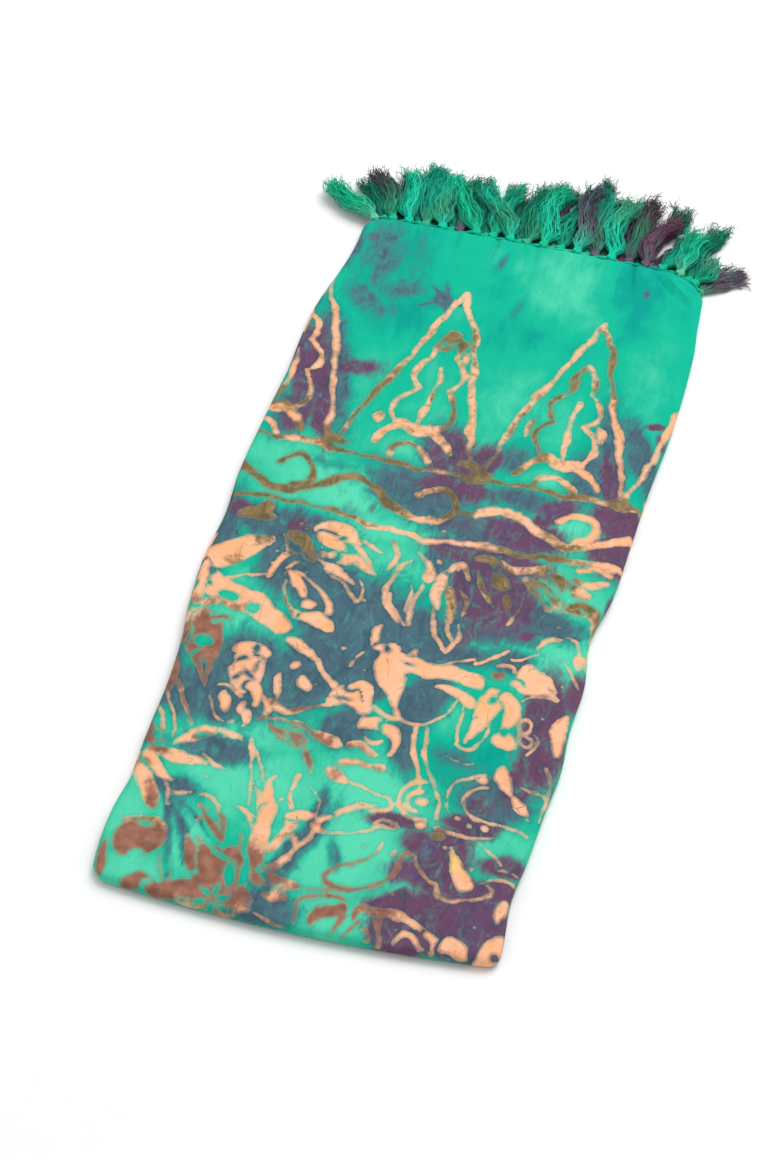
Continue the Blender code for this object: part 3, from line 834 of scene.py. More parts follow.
RIGHT_LOWER = table(
    STROKE_COLUMNS,
    (46, -268, 1.3, 41, -282, 1.4, 28, -294, 2),
    (28, -294, 2, 18, -302, 2.6, 20, -311, 3),
    (20, -311, 3, 36, -312, 2.5, 50, -304, 2.2),
    (50, -304, 2.2, 60, -296, 2.4, 63, -283, 2.4),
    (63, -283, 2.2, 66, -275, 2, 74, -277, 1.3),
    (74, -277, 1.3, 79, -288, 1.8, 90, -292, 1.8),
    (90, -292, 1.8, 95, -303, 2.3, 108, -302, 1.7),
    (108, -302, 1.7, 120, -299, 1.5, 128, -293, 2.3),
    (94, -262, 1.3, 102, -276, 4.4, 110, -288, 7),
    (128, -293, 1.6, 127, -287, 1.2, 118, -284, 0.8),
    (122, -282, 0.9, 130, -279, 1.4, 143, -280, 1.1),
    (128, -272, 0.6, 136, -271, 1, 143, -272, 0.6),
    (2, -348, 2, 5, -330, 2.2, 18, -322, 1.7),
    (18, -322, 1.7, 30, -319, 1.7, 38, -327, 1.3),
    (13, -344, 2.6, 19, -334, 5, 32, -328, 5.2),
    (32, -328, 3, 34, -337, 2.6, 29, -349, 1.6),
    (0, -322, 1.0, 10, -318, 1.3, 26, -316, 0.9),
    (42, -334, 1.5, 46, -325, 3, 55, -326, 4.4),
    (55, -326, 4.4, 61, -336, 2.3, 64, -350, 1.8),
    (46, -336, 1.5, 42, -344, 1.5, 40, -352, 1.2),
    (50, -340, 1.3, 56, -345, 1.9, 54, -352, 1.3),
    (56, -326, 4.2, 76, -327, 3.4, 92, -333, 2.4),
    (92, -333, 3.2, 98, -338, 3.2, 98, -347, 2.2),
    (73, -347, 1.3, 80, -338, 2.6, 91, -345, 1.6),
    (104, -343, 4.6, 111, -340, 7, 119, -346, 3.6),
    (143, -321, 2.4, 138, -332, 8, 136, -345, 8.5),
    (140, -296, 2.4, 139, -303, 4.6, 137, -313, 1),
)
LEFT_MIDDLE = table(
    STROKE_COLUMNS,
    (-141, -178, 1.3, -131, -196, 1.2, -121, -222, 0.9),
    (-145, -190, 1.3, -136, -206, 1.4, -128, -226, 1.1),
    (-134, -170, 1.7, -123, -189, 1.6, -114, -206, 1.9),
    (-118, -226, 1.4, -105, -212, 6, -89, -204, 2.4),
    (-89, -206, 2, -79, -207, 3, -73, -212, 0.9),
    (-144, -212, 4, -140, -223, 6.4, -128, -232, 7),
    (-130, -236, 4, -112, -236, 6, -95, -238, 2.6),
    (-97, -231, 1.4, -88, -236, 2, -82, -238, 0.9),
    (-132, -240, 5, -128, -250, 6, -112, -256, 1.4),
    (-138, -254, 4.4, -129, -267, 8, -120, -280, 5.6),
    (-119, -256, 0.8, -112, -266, 2.1, -110, -279, 0.9),
    (-147, -240, 1.6, -143, -256, 2, -136, -270, 1.2),
    (-108, -266, 0.8, -102, -268, 2.4, -94, -264, 0.8),
    (-88, -266, 1.1, -80, -264, 2.2, -72, -268, 0.9),
    (-87, -274, 0.9, -75, -282, 3.4, -62, -294, 3.4),
    (-74, -270, 0.8, -66, -280, 2.6, -60, -296, 1.3),
    (-86, -288, 0.8, -77, -282, 1.6, -68, -291, 0.9),
    (-66, -190, 0.8, -48, -184, 1.3, -28, -190, 2.4),
    (-28, -190, 2.8, -18, -195, 5, -8, -198, 2.6),
    (-58, -191, 0.9, -46, -194, 3, -34, -197, 3.2),
    (-40, -191, 3.4, -34, -200, 5, -29, -209, 2.6),
    (-29, -207, 2.4, -23, -217, 3.6, -18, -226, 0.9),
    (-60, -187, 0.7, -46, -200, 1, -33, -207, 0.9),
    (-7, -216, 2, -2, -222, 4.6, 6, -227, 2),
)
FERN = table(
    STROKE_COLUMNS,
    (-67, -209, 2.4, -62, -234, 1.0, -53, -262, 0.9),
    (-64, -213, 0.8, -54, -232, 1.2, -47, -250, 1.1),
    (-43, -232, 1.4, -46, -244, 3.4, -40, -263, 5),
    (-55, -246, 0.9, -48, -255, 2.8, -42, -266, 4),
    (-61, -265, 0.9, -51, -270, 2.6, -40, -281, 4),
    (-41, -262, 5, -37, -280, 6.4, -34, -300, 6),
    (-34, -298, 6, -30, -312, 5.6, -25, -323, 3.4),
    (-27, -232, 2.2, -29, -248, 1.5, -24, -262, 2.8),
    (-24, -262, 3.8, -20, -277, 4.4, -26, -293, 2.6),
    (-26, -263, 2.8, -15, -261, 4.4, -8, -258, 1.8),
    (-18, -236, 0.7, -9, -246, 1.1, -5, -262, 1.3),
    (-5, -262, 1.3, -4, -276, 1.9, -11, -291, 1.9),
    (-11, -291, 1.9, -16, -301, 3.4, -25, -310, 2.6),
    (-20, -277, 2.8, -12, -281, 2.1, -9, -289, 1.4),
    (-50, -288, 0.8, -46, -296, 1.4, -44, -306, 1.2),
)
RUSSET_BLOSSOM = table(
    STROKE_COLUMNS,
    (-80, -299, 1.6, -72, -303, 3, -62, -303, 3),
    (-73, -306, 4, -66, -316, 8, -63, -332, 10),
    (-51, -305, 7, -46, -316, 8, -42, -330, 6.4),
    (-64, -336, 8, -50, -338, 10, -34, -337, 7),
    (-84, -339, 5, -74, -347, 7, -60, -352, 5.4),
    (-34, -344, 6, -44, -352, 5, -56, -354, 3.4),
    (-20, -312, 3.4, -8, -318, 4.6, 3, -320, 2.4),
    (-28, -326, 1.2, -16, -328, 2.2, -6, -324, 1),
    (-118, -351, 3, -104, -346, 7.4, -90, -345, 2.6),
    (-98, -322, 1.3, -91, -336, 1.5, -85, -353, 1.7),
    (-90, -318, 0.7, -85, -333, 0.8, -78, -350, 0.8),
    (-138, -318, 1.6, -137, -330, 4.4, -134, -343, 2.2),
    (-88, -300, 1.6, -80, -310, 4.6, -74, -324, 4),
    (-98, -350, 4, -82, -344, 8, -66, -340, 8),
    (-32, -318, 4, -18, -326, 6, -6, -330, 3),
    (-24, -344, 1.0, -14, -350, 1.6, -2, -352, 1.2),
)
STROKE_GROUPS = (LEFT_BLOSSOM, TOP_GROUP, TEAR_LEAF, GARLAND, HANGING_LEAVES, RIGHT_TOP,
                 CENTRE_BLOSSOM, RIGHT_BLOSSOM, RIGHT_LOOPS, RIGHT_LOWER, LEFT_MIDDLE, FERN,
                 RUSSET_BLOSSOM)

# Ovals: middle, half length, half width, heading, style. The cut ones open a shape again
SPOTS = table(
    "x y length width heading style",
    (-32, 216, 7, 7, 0),
    (-34, 204, 8, 4, 24),
    (-22, 209, 6, 7, -20),
    (-15, 196, 3, 8, 0),
    (76, 192, 4, 9, -24),
    (92, 196, 3, 7, 20),
    (54, 138, 3.4, 11, -14),
    (108, 146, 4, 9, 10),
    (6, 126, 3, 9, 8),
    (-62, 122, 5, 6, 0),
    (-126, -4, 17, 7, 5),
    (-122, 2, 9, 6, 70),
    (-61, -318, 12, 18, 12),
    (-44, -324, 8, 15, 0),
    (-52, -343, 26, 9, 0),
    (11, -118, 10, 12, 20),
    (-36, -285, 8, 16, 12),
    (-108, -86, 24, 10, -16),
    (-122, -83, 7.5, 4, -12, "cut"),
    (-103, -94, 5, 4.4, 0, "cut"),
    (-141, -65, 2.6, 3, 0, "cut"),
    (-138, -77, 2.4, 2.2, 0, "cut"),
    (-149, -81, 2, 3.4, 0, "cut"),
    (-129, -130, 6.5, 5, 0, "cut"),
    (-119, -157, 6, 1.3, -62, "cut"),
    (-60, -30, 11, 6.5, 0, "cut"),
    (-64, -31, 4, 3.2, 0),
    (-57, -29, 4.4, 3.6, 0),
    (-42, -39, 4.4, 2, 60, "cut"),
    (-57, -12, 3, 1.8, 40, "cut"),
    (-84, -34, 1.4, 4, 20, "cut"),
    (-66, -79, 5.2, 5, 0),
    (-56, -137, 4.4, 4, 0),
    (-46, -152, 6.4, 6, 0),
    (-55, -172, 3, 1.5, -20, "cut"),
    (-94, -178, 5, 9, 8),
    (-81, -182, 3.4, 6, 0),
    (-75, -189, 4, 7, 14),
    (-86, -196, 3, 2.8, 0),
    (-98, -139, 3.4, 1.3, 30, "cut"),
    (-86, -151, 4.4, 1.2, -34, "cut"),
    (-91, -127, 2, 3.4, 0, "cut"),
    (-84, -141, 1.2, 3.4, 10, "cut"),
    (-95, -155, 1.2, 2.6, -30, "cut"),
    (-28, -112, 2.2, 2, 0),
    (-17, -126, 1.6, 2.8, 0),
    (-100, -34, 1.4, 1.4, 0),
    (-15, -158, 4, 1.1, -10, "cut"),
    (20, -12, 2.2, 2.4, 0),
    (14, -25, 5.4, 6.4, 10),
    (37, -27, 3, 4, 30, "cut"),
    (103, -30, 7, 2.2, -50, "cut"),
    (115, -20, 2.4, 9, 0, "cut"),
    (132, 2, 5, 3, 0, "cut"),
    (99, -13, 7, 0.9, -20, "cut"),
    (101, -22, 6, 0.8, -14, "cut"),
    (142, -80, 5, 6.2, 0),
    (90, -105, 6, 4.4, 10),
    (91, -128, 2.6, 3.2, 0, "cut"),
    (29, -127, 3.2, 4.8, 16, "cut"),
    (21, -113, 2.4, 1, 0, "cut"),
    (2, -104, 2, 4, 30, "cut"),
    (105, -163, 9.5, 8, 0),
    (105, -155, 3, 3.2, 0, "cut"),
    (118, -146, 4.6, 6, -15, "open"),
    (120, -157, 4.4, 4.2, 0, "open"),
    (98, -199, 4.6, 3.6, 0),
    (61, -228, 4.4, 4, 0),
    (88, -238, 2.2, 1.4, 0),
    (98, -239, 2.4, 2, 0),
    (109, -238, 3.6, 3.4, 0),
    (66, -249, 3.6, 3.6, 0),
    (80, -256, 6, 3.6, -20),
    (56, -277, 2.6, 2.6, 0),
    (89, -264, 2, 1.4, 0),
    (141, -337, 2.6, 3, 0, "cut"),
    (-117, -310, 18, 18, 0),
    (-127, -298, 7, 5, 20),
    (-110, -297, 8, 5, -30),
    (-117, -299, 3.4, 2.6, 0, "cut"),
    (-114, -326, 4.6, 3.6, 20, "cut"),
    (-24, -203, 6, 2.2, -20, "cut"),
    (-38, -192, 6, 1.1, -8, "cut"),
    (-102, -213, 4.4, 2, 20, "cut"),
    (-133, -224, 3, 1.6, -30, "cut"),
    (-49, -323, 3.4, 8.5, 12, "cut"),
    (-39, -320, 3.6, 8, -4, "cut"),
    (-68, -302, 8, 1.1, -34, "cut"),
    (-58, -308, 7, 1, -30, "cut"),
    (-22, -324, 9, 2.4, 28, "cut"),
    (-60, -341, 4.6, 1.8, -34, "cut"),
    (-47, -341, 4.4, 1.8, 40, "cut"),
    (-61, -350, 4, 1.8, 30, "cut"),
    (-44, -349, 5, 1.8, -10, "cut"),
    (-53, -337, 1.6, 4, 0, "cut"),
    (-53, -351, 1.8, 4, 0, "cut"),
    (-53, -345, 3.2, 3, 0),
    defaults=("full",),
)

# Parts of circles: middle, radius, first and last angle, half width
ARCS = table(
    "x y radius start end width",
    (61, -228, 10, 110, 268, 1.8),
    (62, -227, 18, 105, 292, 1.8),
)

# Clouds of dye: middle, half length, half width, heading, and strength
PURPLE = table(
    CLOUD_COLUMNS,
    (-49, 257, 6, 5, 40, 0.42),
    (-126, 318, 8, 5, 30, 0.4),
    (148, 165, 6, 3, 10, 0.8),
    (156, 150, 8, 4, -60, 0.7),
    (-132, 160, 34, 12, 98, 1.1),
    (-112, 122, 34, 6, 108, 1.0),
    (-126, 106, 18, 8, 95, 0.9),
    (-97, 166, 16, 8, 10, 0.7),
    (2, 88, 24, 14, 110, 1.1),
    (26, 90, 14, 8, 70, 1.1),
    (126, 96, 26, 7, 105, 0.9),
    (-34, 62, 16, 9, -10, 0.34),
    (8, 62, 24, 10, 0, 0.9),
    (56, 66, 18, 4, 0, 0.3),
    (76, 28, 26, 12, -4, 1.0),
    (30, 30, 20, 8, 20, 0.5),
    (91, 56, 16, 9, 60, 1.0),
    (144, 60, 20, 12, -6, 1.1),
    (148, 30, 16, 20, 0, 1.1),
    (-75, 35, 5, 2.4, 100, 0.3),
    (-61, 18, 7, 5, 0, 0.36),
    (-44, 26, 5, 5, 30, 0.3),
    (-90, -8, 8, 6, 0, 0.8),
    (-144, 0, 8, 6, 0, 0.9),
    (-143, -50, 8, 4, 60, 0.9),
    (56, 0, 34, 10, -6, 1.1),
    (64, -32, 30, 22, -60, 1.1),
    (96, -64, 7, 4, 20, 0.7),
    (56, -72, 20, 6, 80, 0.55),
    (152, -22, 12, 4, 80, 0.6),
    (146, -108, 14, 7, 80, 0.9),
    (132, -146, 34, 11, 98, 1.2),
    (124, -186, 22, 8, 85, 1.1),
    (104, -220, 12, 8, 30, 0.6),
    (100, -240, 14, 6, 4, 1.2),
    (50, -250, 16, 5, 4, 0.9),
    (90, -274, 14, 22, 0, 1.1),
    (70, -264, 10, 10, 0, 0.8),
    (72, -290, 12, 9, 0, 0.9),
    (108, -292, 14, 8, 0, 1.1),
    (108, -322, 36, 19, 6, 1.2),
    (66, -316, 16, 7, 20, 1.0),
    (74, -340, 16, 12, -20, 1.1),
    (132, -268, 14, 7, 0, 0.9),
    (136, -288, 12, 7, 0, 1.0),
)
SLATE = table(
    CLOUD_COLUMNS,
    (-112, 300, 44, 18, 98, 0.56),
    (-49, 256, 8, 6, 40, 1.0),
    (-56, 252, 12, 1.8, 24, 0.8),
    (-46, 266, 2, 10, 20, 0.7),
    (-38, 258, 9, 1.8, -20, 0.7),
    (-55, 264, 9, 1.5, -48, 0.7),
    (-44, 248, 8, 1.5, -60, 0.6),
    (-80, 300, 34, 12, 100, 0.4),
    (-84, 262, 20, 12, 20, 0.55),
    (-110, 246, 18, 12, 140, 0.6),
    (-92, 236, 12, 10, 0, 0.45),
    (-136, 302, 24, 6, 86, 0.6),
    (-14, 313, 12, 4, 80, 0.42),
    (110, 309, 5, 1.8, 85, 0.85),
    (14, 262, 16, 4, 80, 0.35),
    (-112, 160, 60, 10, 108, 0.9),
    (-132, 104, 20, 12, 90, 0.8),
    (108, 100, 22, 14, 100, 0.9),
    (118, 136, 40, 9, 100, 0.8),
    (142, 130, 34, 10, 115, 0.9),
    (48, 102, 14, 12, 60, 0.7),
    (-12, 106, 16, 10, 70, 0.8),
    (-14, 50, 34, 18, -20, 1.0),
    (36, 26, 40, 12, -10, 0.9),
    (62, 62, 26, 9, 0, 0.8),
    (-84, 62, 26, 5, 0, 0.35),
    (-102, -8, 34, 12, 0, 1.1),
    (-148, -28, 34, 10, 92, 1.1),
    (-98, -36, 30, 12, 100, 1.1),
    (-52, -62, 44, 20, -30, 1.2),
    (-20, -100, 42, 34, 80, 1.2),
    (-40, -136, 38, 22, 60, 1.1),
    (-92, -144, 24, 22, 100, 1.0),
    (-108, -176, 44, 18, 6, 1.1),
    (-146, -168, 30, 10, 92, 0.9),
    (-88, -222, 19, 9, 6, 1.1),
    (-110, -262, 16, 7, -8, 0.9),
    (-97, -290, 40, 3.2, -58, 0.62),
    (-103, -296, 40, 2.6, -68, 0.62),
    (-88, -282, 24, 1.8, -36, 0.5),
    (-92, -298, 30, 1.6, -48, 0.5),
    (-102, -276, 12, 8, -60, 0.5),
    (16, -84, 30, 20, -10, 1.1),
    (44, -96, 30, 9, 6, 1.0),
    (42, -142, 20, 13, 70, 1.2),
    (6, -144, 12, 8, 60, 1.0),
    (37, -188, 18, 8, 105, 1.1),
    (0, -168, 16, 8, -50, 0.8),
    (72, -60, 34, 14, 10, 1.0),
    (106, -50, 24, 10, -14, 1.1),
    (94, -90, 12, 10, 0, 0.9),
    (78, -186, 18, 9, -10, 0.55),
    (112, -214, 20, 18, 20, 1.1),
    (-20, -340, 18, 12, 10, 1.1),
    (-10, -290, 32, 6, 72, 1.0),
    (-6, -258, 20, 4, 90, 0.9),
    (-8, -184, 14, 12, 40, 1.1),
    (15, -286, 12, 4, 110, 0.5),
    (-104, 60, 10, 4, 0, 0.3),
    (22, -6, 10, 18, 0, 0.9),
    (126, -344, 12, 8, 0, 0.9),
    (-142, -228, 10, 6, 80, 0.7),
    (84, -206, 30, 26, 0, 0.3),
)
OLIVE = table(
    CLOUD_COLUMNS,
    (0, 150, 170, 140, 0, 0.34),
    (60, -20, 110, 40, 0, 0.30),
    (-140, 120, 16, 11, 0, 1.0),
    (-112, 88, 20, 9, 0, 1.0),
    (-88, 88, 16, 11, 0, 1.1),
    (-60, 77, 44, 5, 0, 0.9),
    (-100, 40, 70, 26, 8, 1.3),
    (-44, 46, 26, 16, -30, 1.2),
    (-110, 14, 60, 7, 0, 1.0),
    (-60, 12, 30, 5, 0, 0.6),
    (-30, 212, 16, 12, 0, 1.1),
    (-14, 210, 24, 4, 110, 0.7),
    (-73, 138, 40, 8, 74, 0.9),
    (-9, 138, 26, 6, 90, 0.9),
    (-28, 150, 16, 3, 90, 0.7),
    (-40, 92, 26, 12, 10, 0.7),
    (28, 84, 22, 20, 0, 1.2),
    (76, 196, 16, 8, 80, 1.0),
    (64, 142, 40, 8, 90, 1.0),
    (104, 212, 42, 6, -66, 1.0),
    (97, 192, 16, 6, 110, 0.8),
    (46, 140, 34, 6, 72, 0.7),
    (60, 178, 14, 6, 60, 0.6),
    (70, 77, 44, 6, 0, 0.9),
    (-20, 78, 20, 5, 0, 0.8),
    (-140, 77, 14, 5, 0, 0.8),
    (88, 140, 12, 4, 90, 0.5),
    (140, 80, 20, 7, 0, 0.8),
    (12, 46, 16, 16, 0, 1.1),
    (92, 33, 14, 7, -40, 0.6),
    (108, 24, 16, 5, 10, 0.7),
    (88, 10, 34, 8, 0, 0.9),
    (-126, -4, 18, 10, 0, 1.1),
    (-84, -26, 24, 10, 128, 1.1),
    (-112, -24, 12, 8, 30, 0.7),
    (-128, -50, 8, 6, 0, 0.6),
    (-20, -4, 20, 6, 0, 0.5),
    (66, -20, 26, 14, -50, 1.1),
    (78, -42, 12, 8, 80, 1.0),
    (104, -16, 26, 16, 60, 0.95),
    (132, -30, 26, 10, 0, 0.8),
    (148, -40, 10, 20, 0, 0.8),
    (40, -42, 20, 12, 80, 0.7),
    (-82, -84, 16, 4, -50, 0.8),
    (-118, -294, 16, 8, 0, 0.5),
    (80, -256, 10, 7, 0, 0.9),
    (104, -300, 24, 4, 0, 0.5),
    (138, -190, 16, 8, 80, 0.6),
    (-50, 2, 26, 8, 0, 0.3),
)
RUSSET = table(
    CLOUD_COLUMNS,
    (-128, -128, 30, 17, 80, 1.3),
    (-140, -158, 26, 18, 90, 1.1),
    (-118, -158, 22, 8, 120, 0.9),
    (-148, -96, 10, 8, 0, 0.5),
    (-118, -320, 24, 18, 0, 1.3),
    (-56, -322, 30, 24, 0, 1.3),
    (-24, -314, 20, 10, 10, 0.9),
    (-64, -286, 24, 10, -30, 1.0),
    (-40, -196, 22, 9, -10, 1.2),
    (-24, -214, 16, 6, -60, 0.7),
    (-100, -213, 10, 5, 20, 0.8),
    (-132, -228, 14, 9, -20, 0.9),
    (-140, -216, 8, 8, 0, 0.7),
    (-122, -276, 16, 6, -60, 0.7),
    (-134, -250, 8, 4, 0, 0.6),
    (-142, -334, 24, 14, 90, 1.2),
    (-104, -346, 24, 12, 10, 1.2),
    (-46, -170, 22, 6, 0, 0.8),
    (40, -306, 38, 22, 20, 1.1),
    (20, -338, 30, 20, 0, 1.1),
    (56, -334, 14, 16, 0, 0.8),
    (66, -280, 14, 8, 80, 0.8),
    (6, -200, 14, 8, 0, 0.7),
    (8, -214, 20, 6, 0, 0.6),
    (18, -212, 12, 5, 0, 0.6),
    (2, -266, 14, 8, 0, 0.5),
    (90, -105, 9, 7, 0, 1.0),
    (-18, -280, 20, 6, 70, 0.5),
    (-88, -152, 8, 5, 40, 0.35),
    (-120, -184, 26, 10, 120, 0.7),
    (112, -340, 12, 8, 0, 0.4),
    (96, -228, 10, 20, 0, 0.3),
    (-4, -222, 8, 8, 0, 0.5),
)
MINT = table(
    CLOUD_COLUMNS,
    (44, 296, 44, 26, 84, 0.7),
    (72, 262, 26, 14, 40, 0.5),
    (0, 316, 18, 12, 0, 0.4),
    (128, 210, 70, 18, 92, 0.35),
    (-30, 245, 30, 16, 0, 0.25),
    (-18, 318, 20, 10, 80, 0.35),
    (105, 40, 18, 16, 0, 1.1),
    (-40, 92, 22, 12, 0, 0.7),
    (78, 88, 20, 8, 0, 0.7),
    (-80, 150, 50, 20, 90, 0.4),
    (-30, 150, 40, 22, 90, 0.3),
    (30, 160, 60, 22, 80, 0.4),
    (78, 135, 30, 14, 90, 0.5),
    (130, 165, 30, 12, 80, 0.5),
    (-70, 38, 60, 22, 0, 1.0),
    (-120, 60, 40, 18, 0, 0.7),
    (-34, 5, 50, 18, 10, 0.8),
    (-18, -22, 26, 20, 0, 0.8),
    (120, -20, 40, 24, -20, 0.7),
    (130, -80, 30, 26, 10, 0.9),
    (-98, -68, 24, 12, -20, 0.8),
    (-105, -108, 34, 14, -20, 0.9),
    (-70, -200, 60, 18, 10, 0.9),
    (-60, -240, 50, 30, 0, 0.95),
    (-88, -300, 34, 14, -55, 1.1),
    (24, -230, 40, 40, 0, 1.0),
    (20, -280, 40, 40, 0, 1.0),
    (28, -336, 34, 16, 0, 0.9),
    (-118, -336, 34, 16, 0, 0.9),
    (120, -250, 30, 20, 0, 0.7),
    (134, -180, 20, 40, 0, 0.5),
    (74, -306, 20, 8, 0, 0.8),
    (-134, -290, 14, 34, 0, 0.9),
    (-20, -340, 40, 20, 0, 0.2),
    (60, -150, 10, 22, 0, 0.6),
    (74, -80, 26, 10, 10, 0.6),
)
DEEP = table(
    CLOUD_COLUMNS,
    (104, 300, 22, 40, 0, 0.6),
    (20, 240, 40, 24, 20, 0.45),
    (-72, 232, 30, 18, 60, 0.5),
    (-92, 316, 12, 26, 0, 0.3),
    (-10, 282, 14, 26, 0, 0.3),
    (66, 240, 10, 30, -20, 0.35),
    (138, 290, 14, 30, 0, 0.3),
    (-70, 160, 20, 40, 0, 0.2),
    (110, 120, 20, 30, 0, 0.4),
    (60, -190, 34, 16, 0, 0.5),
    (94, -180, 20, 20, 0, 0.4),
)
GOLD = table(
    CLOUD_COLUMNS,
    (99, -270, 9, 12, 0, 1.0),
    (-118, -295, 14, 7, 0, 0.8),
    (-50, -92, 12, 7, -20, 0.42),
    (78, -254, 8, 6, 0, 0.6),
    (-50, -8, 20, 8, 0, 0.5),
    (108, -96, 14, 10, 0, 0.5),
    (86, -132, 14, 16, 0, 0.5),
)

# How fast a cloud fades outward
CLOUD_FALL = 0.55

# The slow waver of all drawn lines: its size, the stretch of X and of Y, and its start
WAVERS = table(
    WAVE_COLUMNS,
    (1.1, 9.0, 13.0, 0.4),
    (0.8, -6.0, 8.5, 2.0),
    (1.6, 31.0, -23.0, 1.1),
    (0.6, 3.7, 5.3, 0.7),
    (0.35, -2.3, 3.1, 1.9),
)
WAVER_LEAN = 0.4


def wavered(places):
    """Places shifted a little this way and that, so that nothing is drawn dead straight."""
    x, y = places[:, 0], places[:, 1]
    moved_x, moved_y = x.copy(), y.copy()
    for waver in WAVERS:
        turn_x = x / waver.x_stretch
        turn_y = y / waver.y_stretch
        moved_x += waver.size * np.sin(turn_y + WAVER_LEAN * turn_x + waver.start)
        moved_y += waver.size * np.sin(turn_x - WAVER_LEAN * turn_y + waver.start)
    return np.stack([moved_x, moved_y], axis=1)


def cloud_field(clouds, places):
    """How strongly a dye lies at every place, from 0 up."""
    x, y = places[:, 0], places[:, 1]
    total = np.zeros(len(places))
    for cloud in clouds:
        a = math.radians(cloud.heading)
        along = (x - cloud.x) * math.cos(a) + (y - cloud.y) * math.sin(a)
        across = (y - cloud.y) * math.cos(a) - (x - cloud.x) * math.sin(a)
        size = (along / cloud.length) ** 2 + (across / cloud.width) ** 2
        total = np.maximum(total, cloud.strength * np.exp(-CLOUD_FALL * size))
    return total


def wax_depth(places):
    """The whole pattern, drawn motif by motif."""
    wax = Wax(wavered(places))
    for row in TUMPALS:
        draw_tumpal(wax, row)
    draw_border(wax)
    for group in STROKE_GROUPS:
        for row in group:
            wax.stroke(*row)
    for row in ARCS:
        wax.arc(*row)
    for row in SPOTS:
        wax.spot(*row)
    wax.add_drips()
    return wax.depth


# Materials. Noise comes back as a number around zero, from about -1 to 1
NOISE_GAIN = 2.6
NOISE_SHIFT = -1.3


class Shader:
    """Builds one node material, with short names for the nodes that it needs."""

    def __init__(self, name):
        self.material = bpy.data.materials.new(name)
        self.material.use_nodes = True
        self.tree = self.material.node_tree
        self.surface = self.tree.nodes["Principled BSDF"]
        coordinates = self.tree.nodes.new("ShaderNodeTexCoord")
        self.place = coordinates.outputs["Object"]

    def feed(self, socket, value):
        """Links an input to another node's output, or sets it to a number or colour."""
        if isinstance(value, bpy.types.NodeSocket):
            self.tree.links.new(value, socket)
        else:
            socket.default_value = value

    def math(self, operation, a, b=0.0, c=0.0):
        node = self.tree.nodes.new("ShaderNodeMath")
        node.operation = operation
        for socket, value in zip(node.inputs, (a, b, c)):
            self.feed(socket, value)
        return node.outputs[0]

    def add(self, first, *others):
        total = first
        for other in others:
            total = self.math("ADD", total, other)
        return total

    def times(self, a, b):
        return self.math("MULTIPLY", a, b)

    def field(self, name, output="Fac"):
        """A number, or with the output Color a colour, that each vertex carries."""
        node = self.tree.nodes.new("ShaderNodeAttribute")
        node.attribute_name = name
        return node.outputs[output]

    def stretched(self, scale):
        node = self.tree.nodes.new("ShaderNodeMapping")
        self.feed(node.inputs["Vector"], self.place)
        node.inputs["Scale"].default_value = scale if isinstance(scale, tuple) else (scale,) * 3
        return node.outputs["Vector"]

    def noise(self, scale, detail=2.0, roughness=0.5, distortion=0.0):
        """Noise around zero. The scale is in turns a metre, on each axis or on all of them."""
        node = self.tree.nodes.new("ShaderNodeTexNoise")
        self.feed(node.inputs["Vector"], self.stretched(scale))
        node.inputs["Scale"].default_value = 1.0
        node.inputs["Detail"].default_value = detail
        node.inputs["Roughness"].default_value = roughness
        node.inputs["Distortion"].default_value = distortion
        return self.math("MULTIPLY_ADD", node.outputs["Fac"], NOISE_GAIN, NOISE_SHIFT)

    def bands(self, direction, scale):
        node = self.tree.nodes.new("ShaderNodeTexWave")
        node.bands_direction = direction
        self.feed(node.inputs["Vector"], self.place)
        node.inputs["Scale"].default_value = scale
        return node.outputs["Fac"]

    def cells(self, scale):
        """Distance to the edges of small cells, for cracks in the wax."""
        node = self.tree.nodes.new("ShaderNodeTexVoronoi")
        node.feature = "DISTANCE_TO_EDGE"
        self.feed(node.inputs["Vector"], self.stretched(scale))
        node.inputs["Scale"].default_value = 1.0
        return node.outputs["Distance"]

    def ramp(self, value, low, high, to_low=0.0, to_high=1.0):
        """A soft step: to_low where the value is low, to_high where it is high."""
        node = self.tree.nodes.new("ShaderNodeMapRange")
        node.interpolation_type = "SMOOTHSTEP"
        for socket, number in zip(node.inputs, (value, low, high, to_low, to_high)):
            self.feed(socket, number)
        return node.outputs[0]

    def set(self, **values):
        """Sets inputs of the surface, with _ for each space in a name."""
        for name, value in values.items():
            self.feed(self.surface.inputs[name.replace("_", " ")], value)

    def mix(self, share, a, b, blend="MIX"):
        """Colour a where the share is 0, and colour b where it is 1."""
        node = self.tree.nodes.new("ShaderNodeMix")
        node.data_type = "RGBA"
        node.blend_type = blend
        self.feed(node.inputs["Factor"], share)
        for socket, colour in ((node.inputs["A"], a), (node.inputs["B"], b)):
            self.feed(socket, (*colour, 1.0) if isinstance(colour, tuple) else colour)
        return node.outputs["Result"]

    def bump(self, height, distance, under=None):
        """A fine relief, on top of another one where that is given."""
        node = self.tree.nodes.new("ShaderNodeBump")
        node.inputs["Strength"].default_value = 1.0
        node.inputs["Distance"].default_value = distance
        self.feed(node.inputs["Height"], height)
        if under is not None:
            self.feed(node.inputs["Normal"], under)
        return node.outputs["Normal"]


# Dyes of the ground
TEAL_GREEN = (0.004, 0.46, 0.29)
MINT_GREEN = (0.095, 0.66, 0.42)
DEEP_TEAL = (0.0, 0.33, 0.26)
SLATE_BLUE = (0.075, 0.155, 0.195)
PALE_SLATE = (0.17, 0.31, 0.33)
DYE_PURPLE = (0.16, 0.065, 0.125)
BLUE_PURPLE = (0.115, 0.085, 0.20)
DARK_INK = (0.035, 0.05, 0.095)
GLINT_TEAL = (0.05, 0.38, 0.31)
POOL_TEAL = (0.012, 0.10, 0.12)

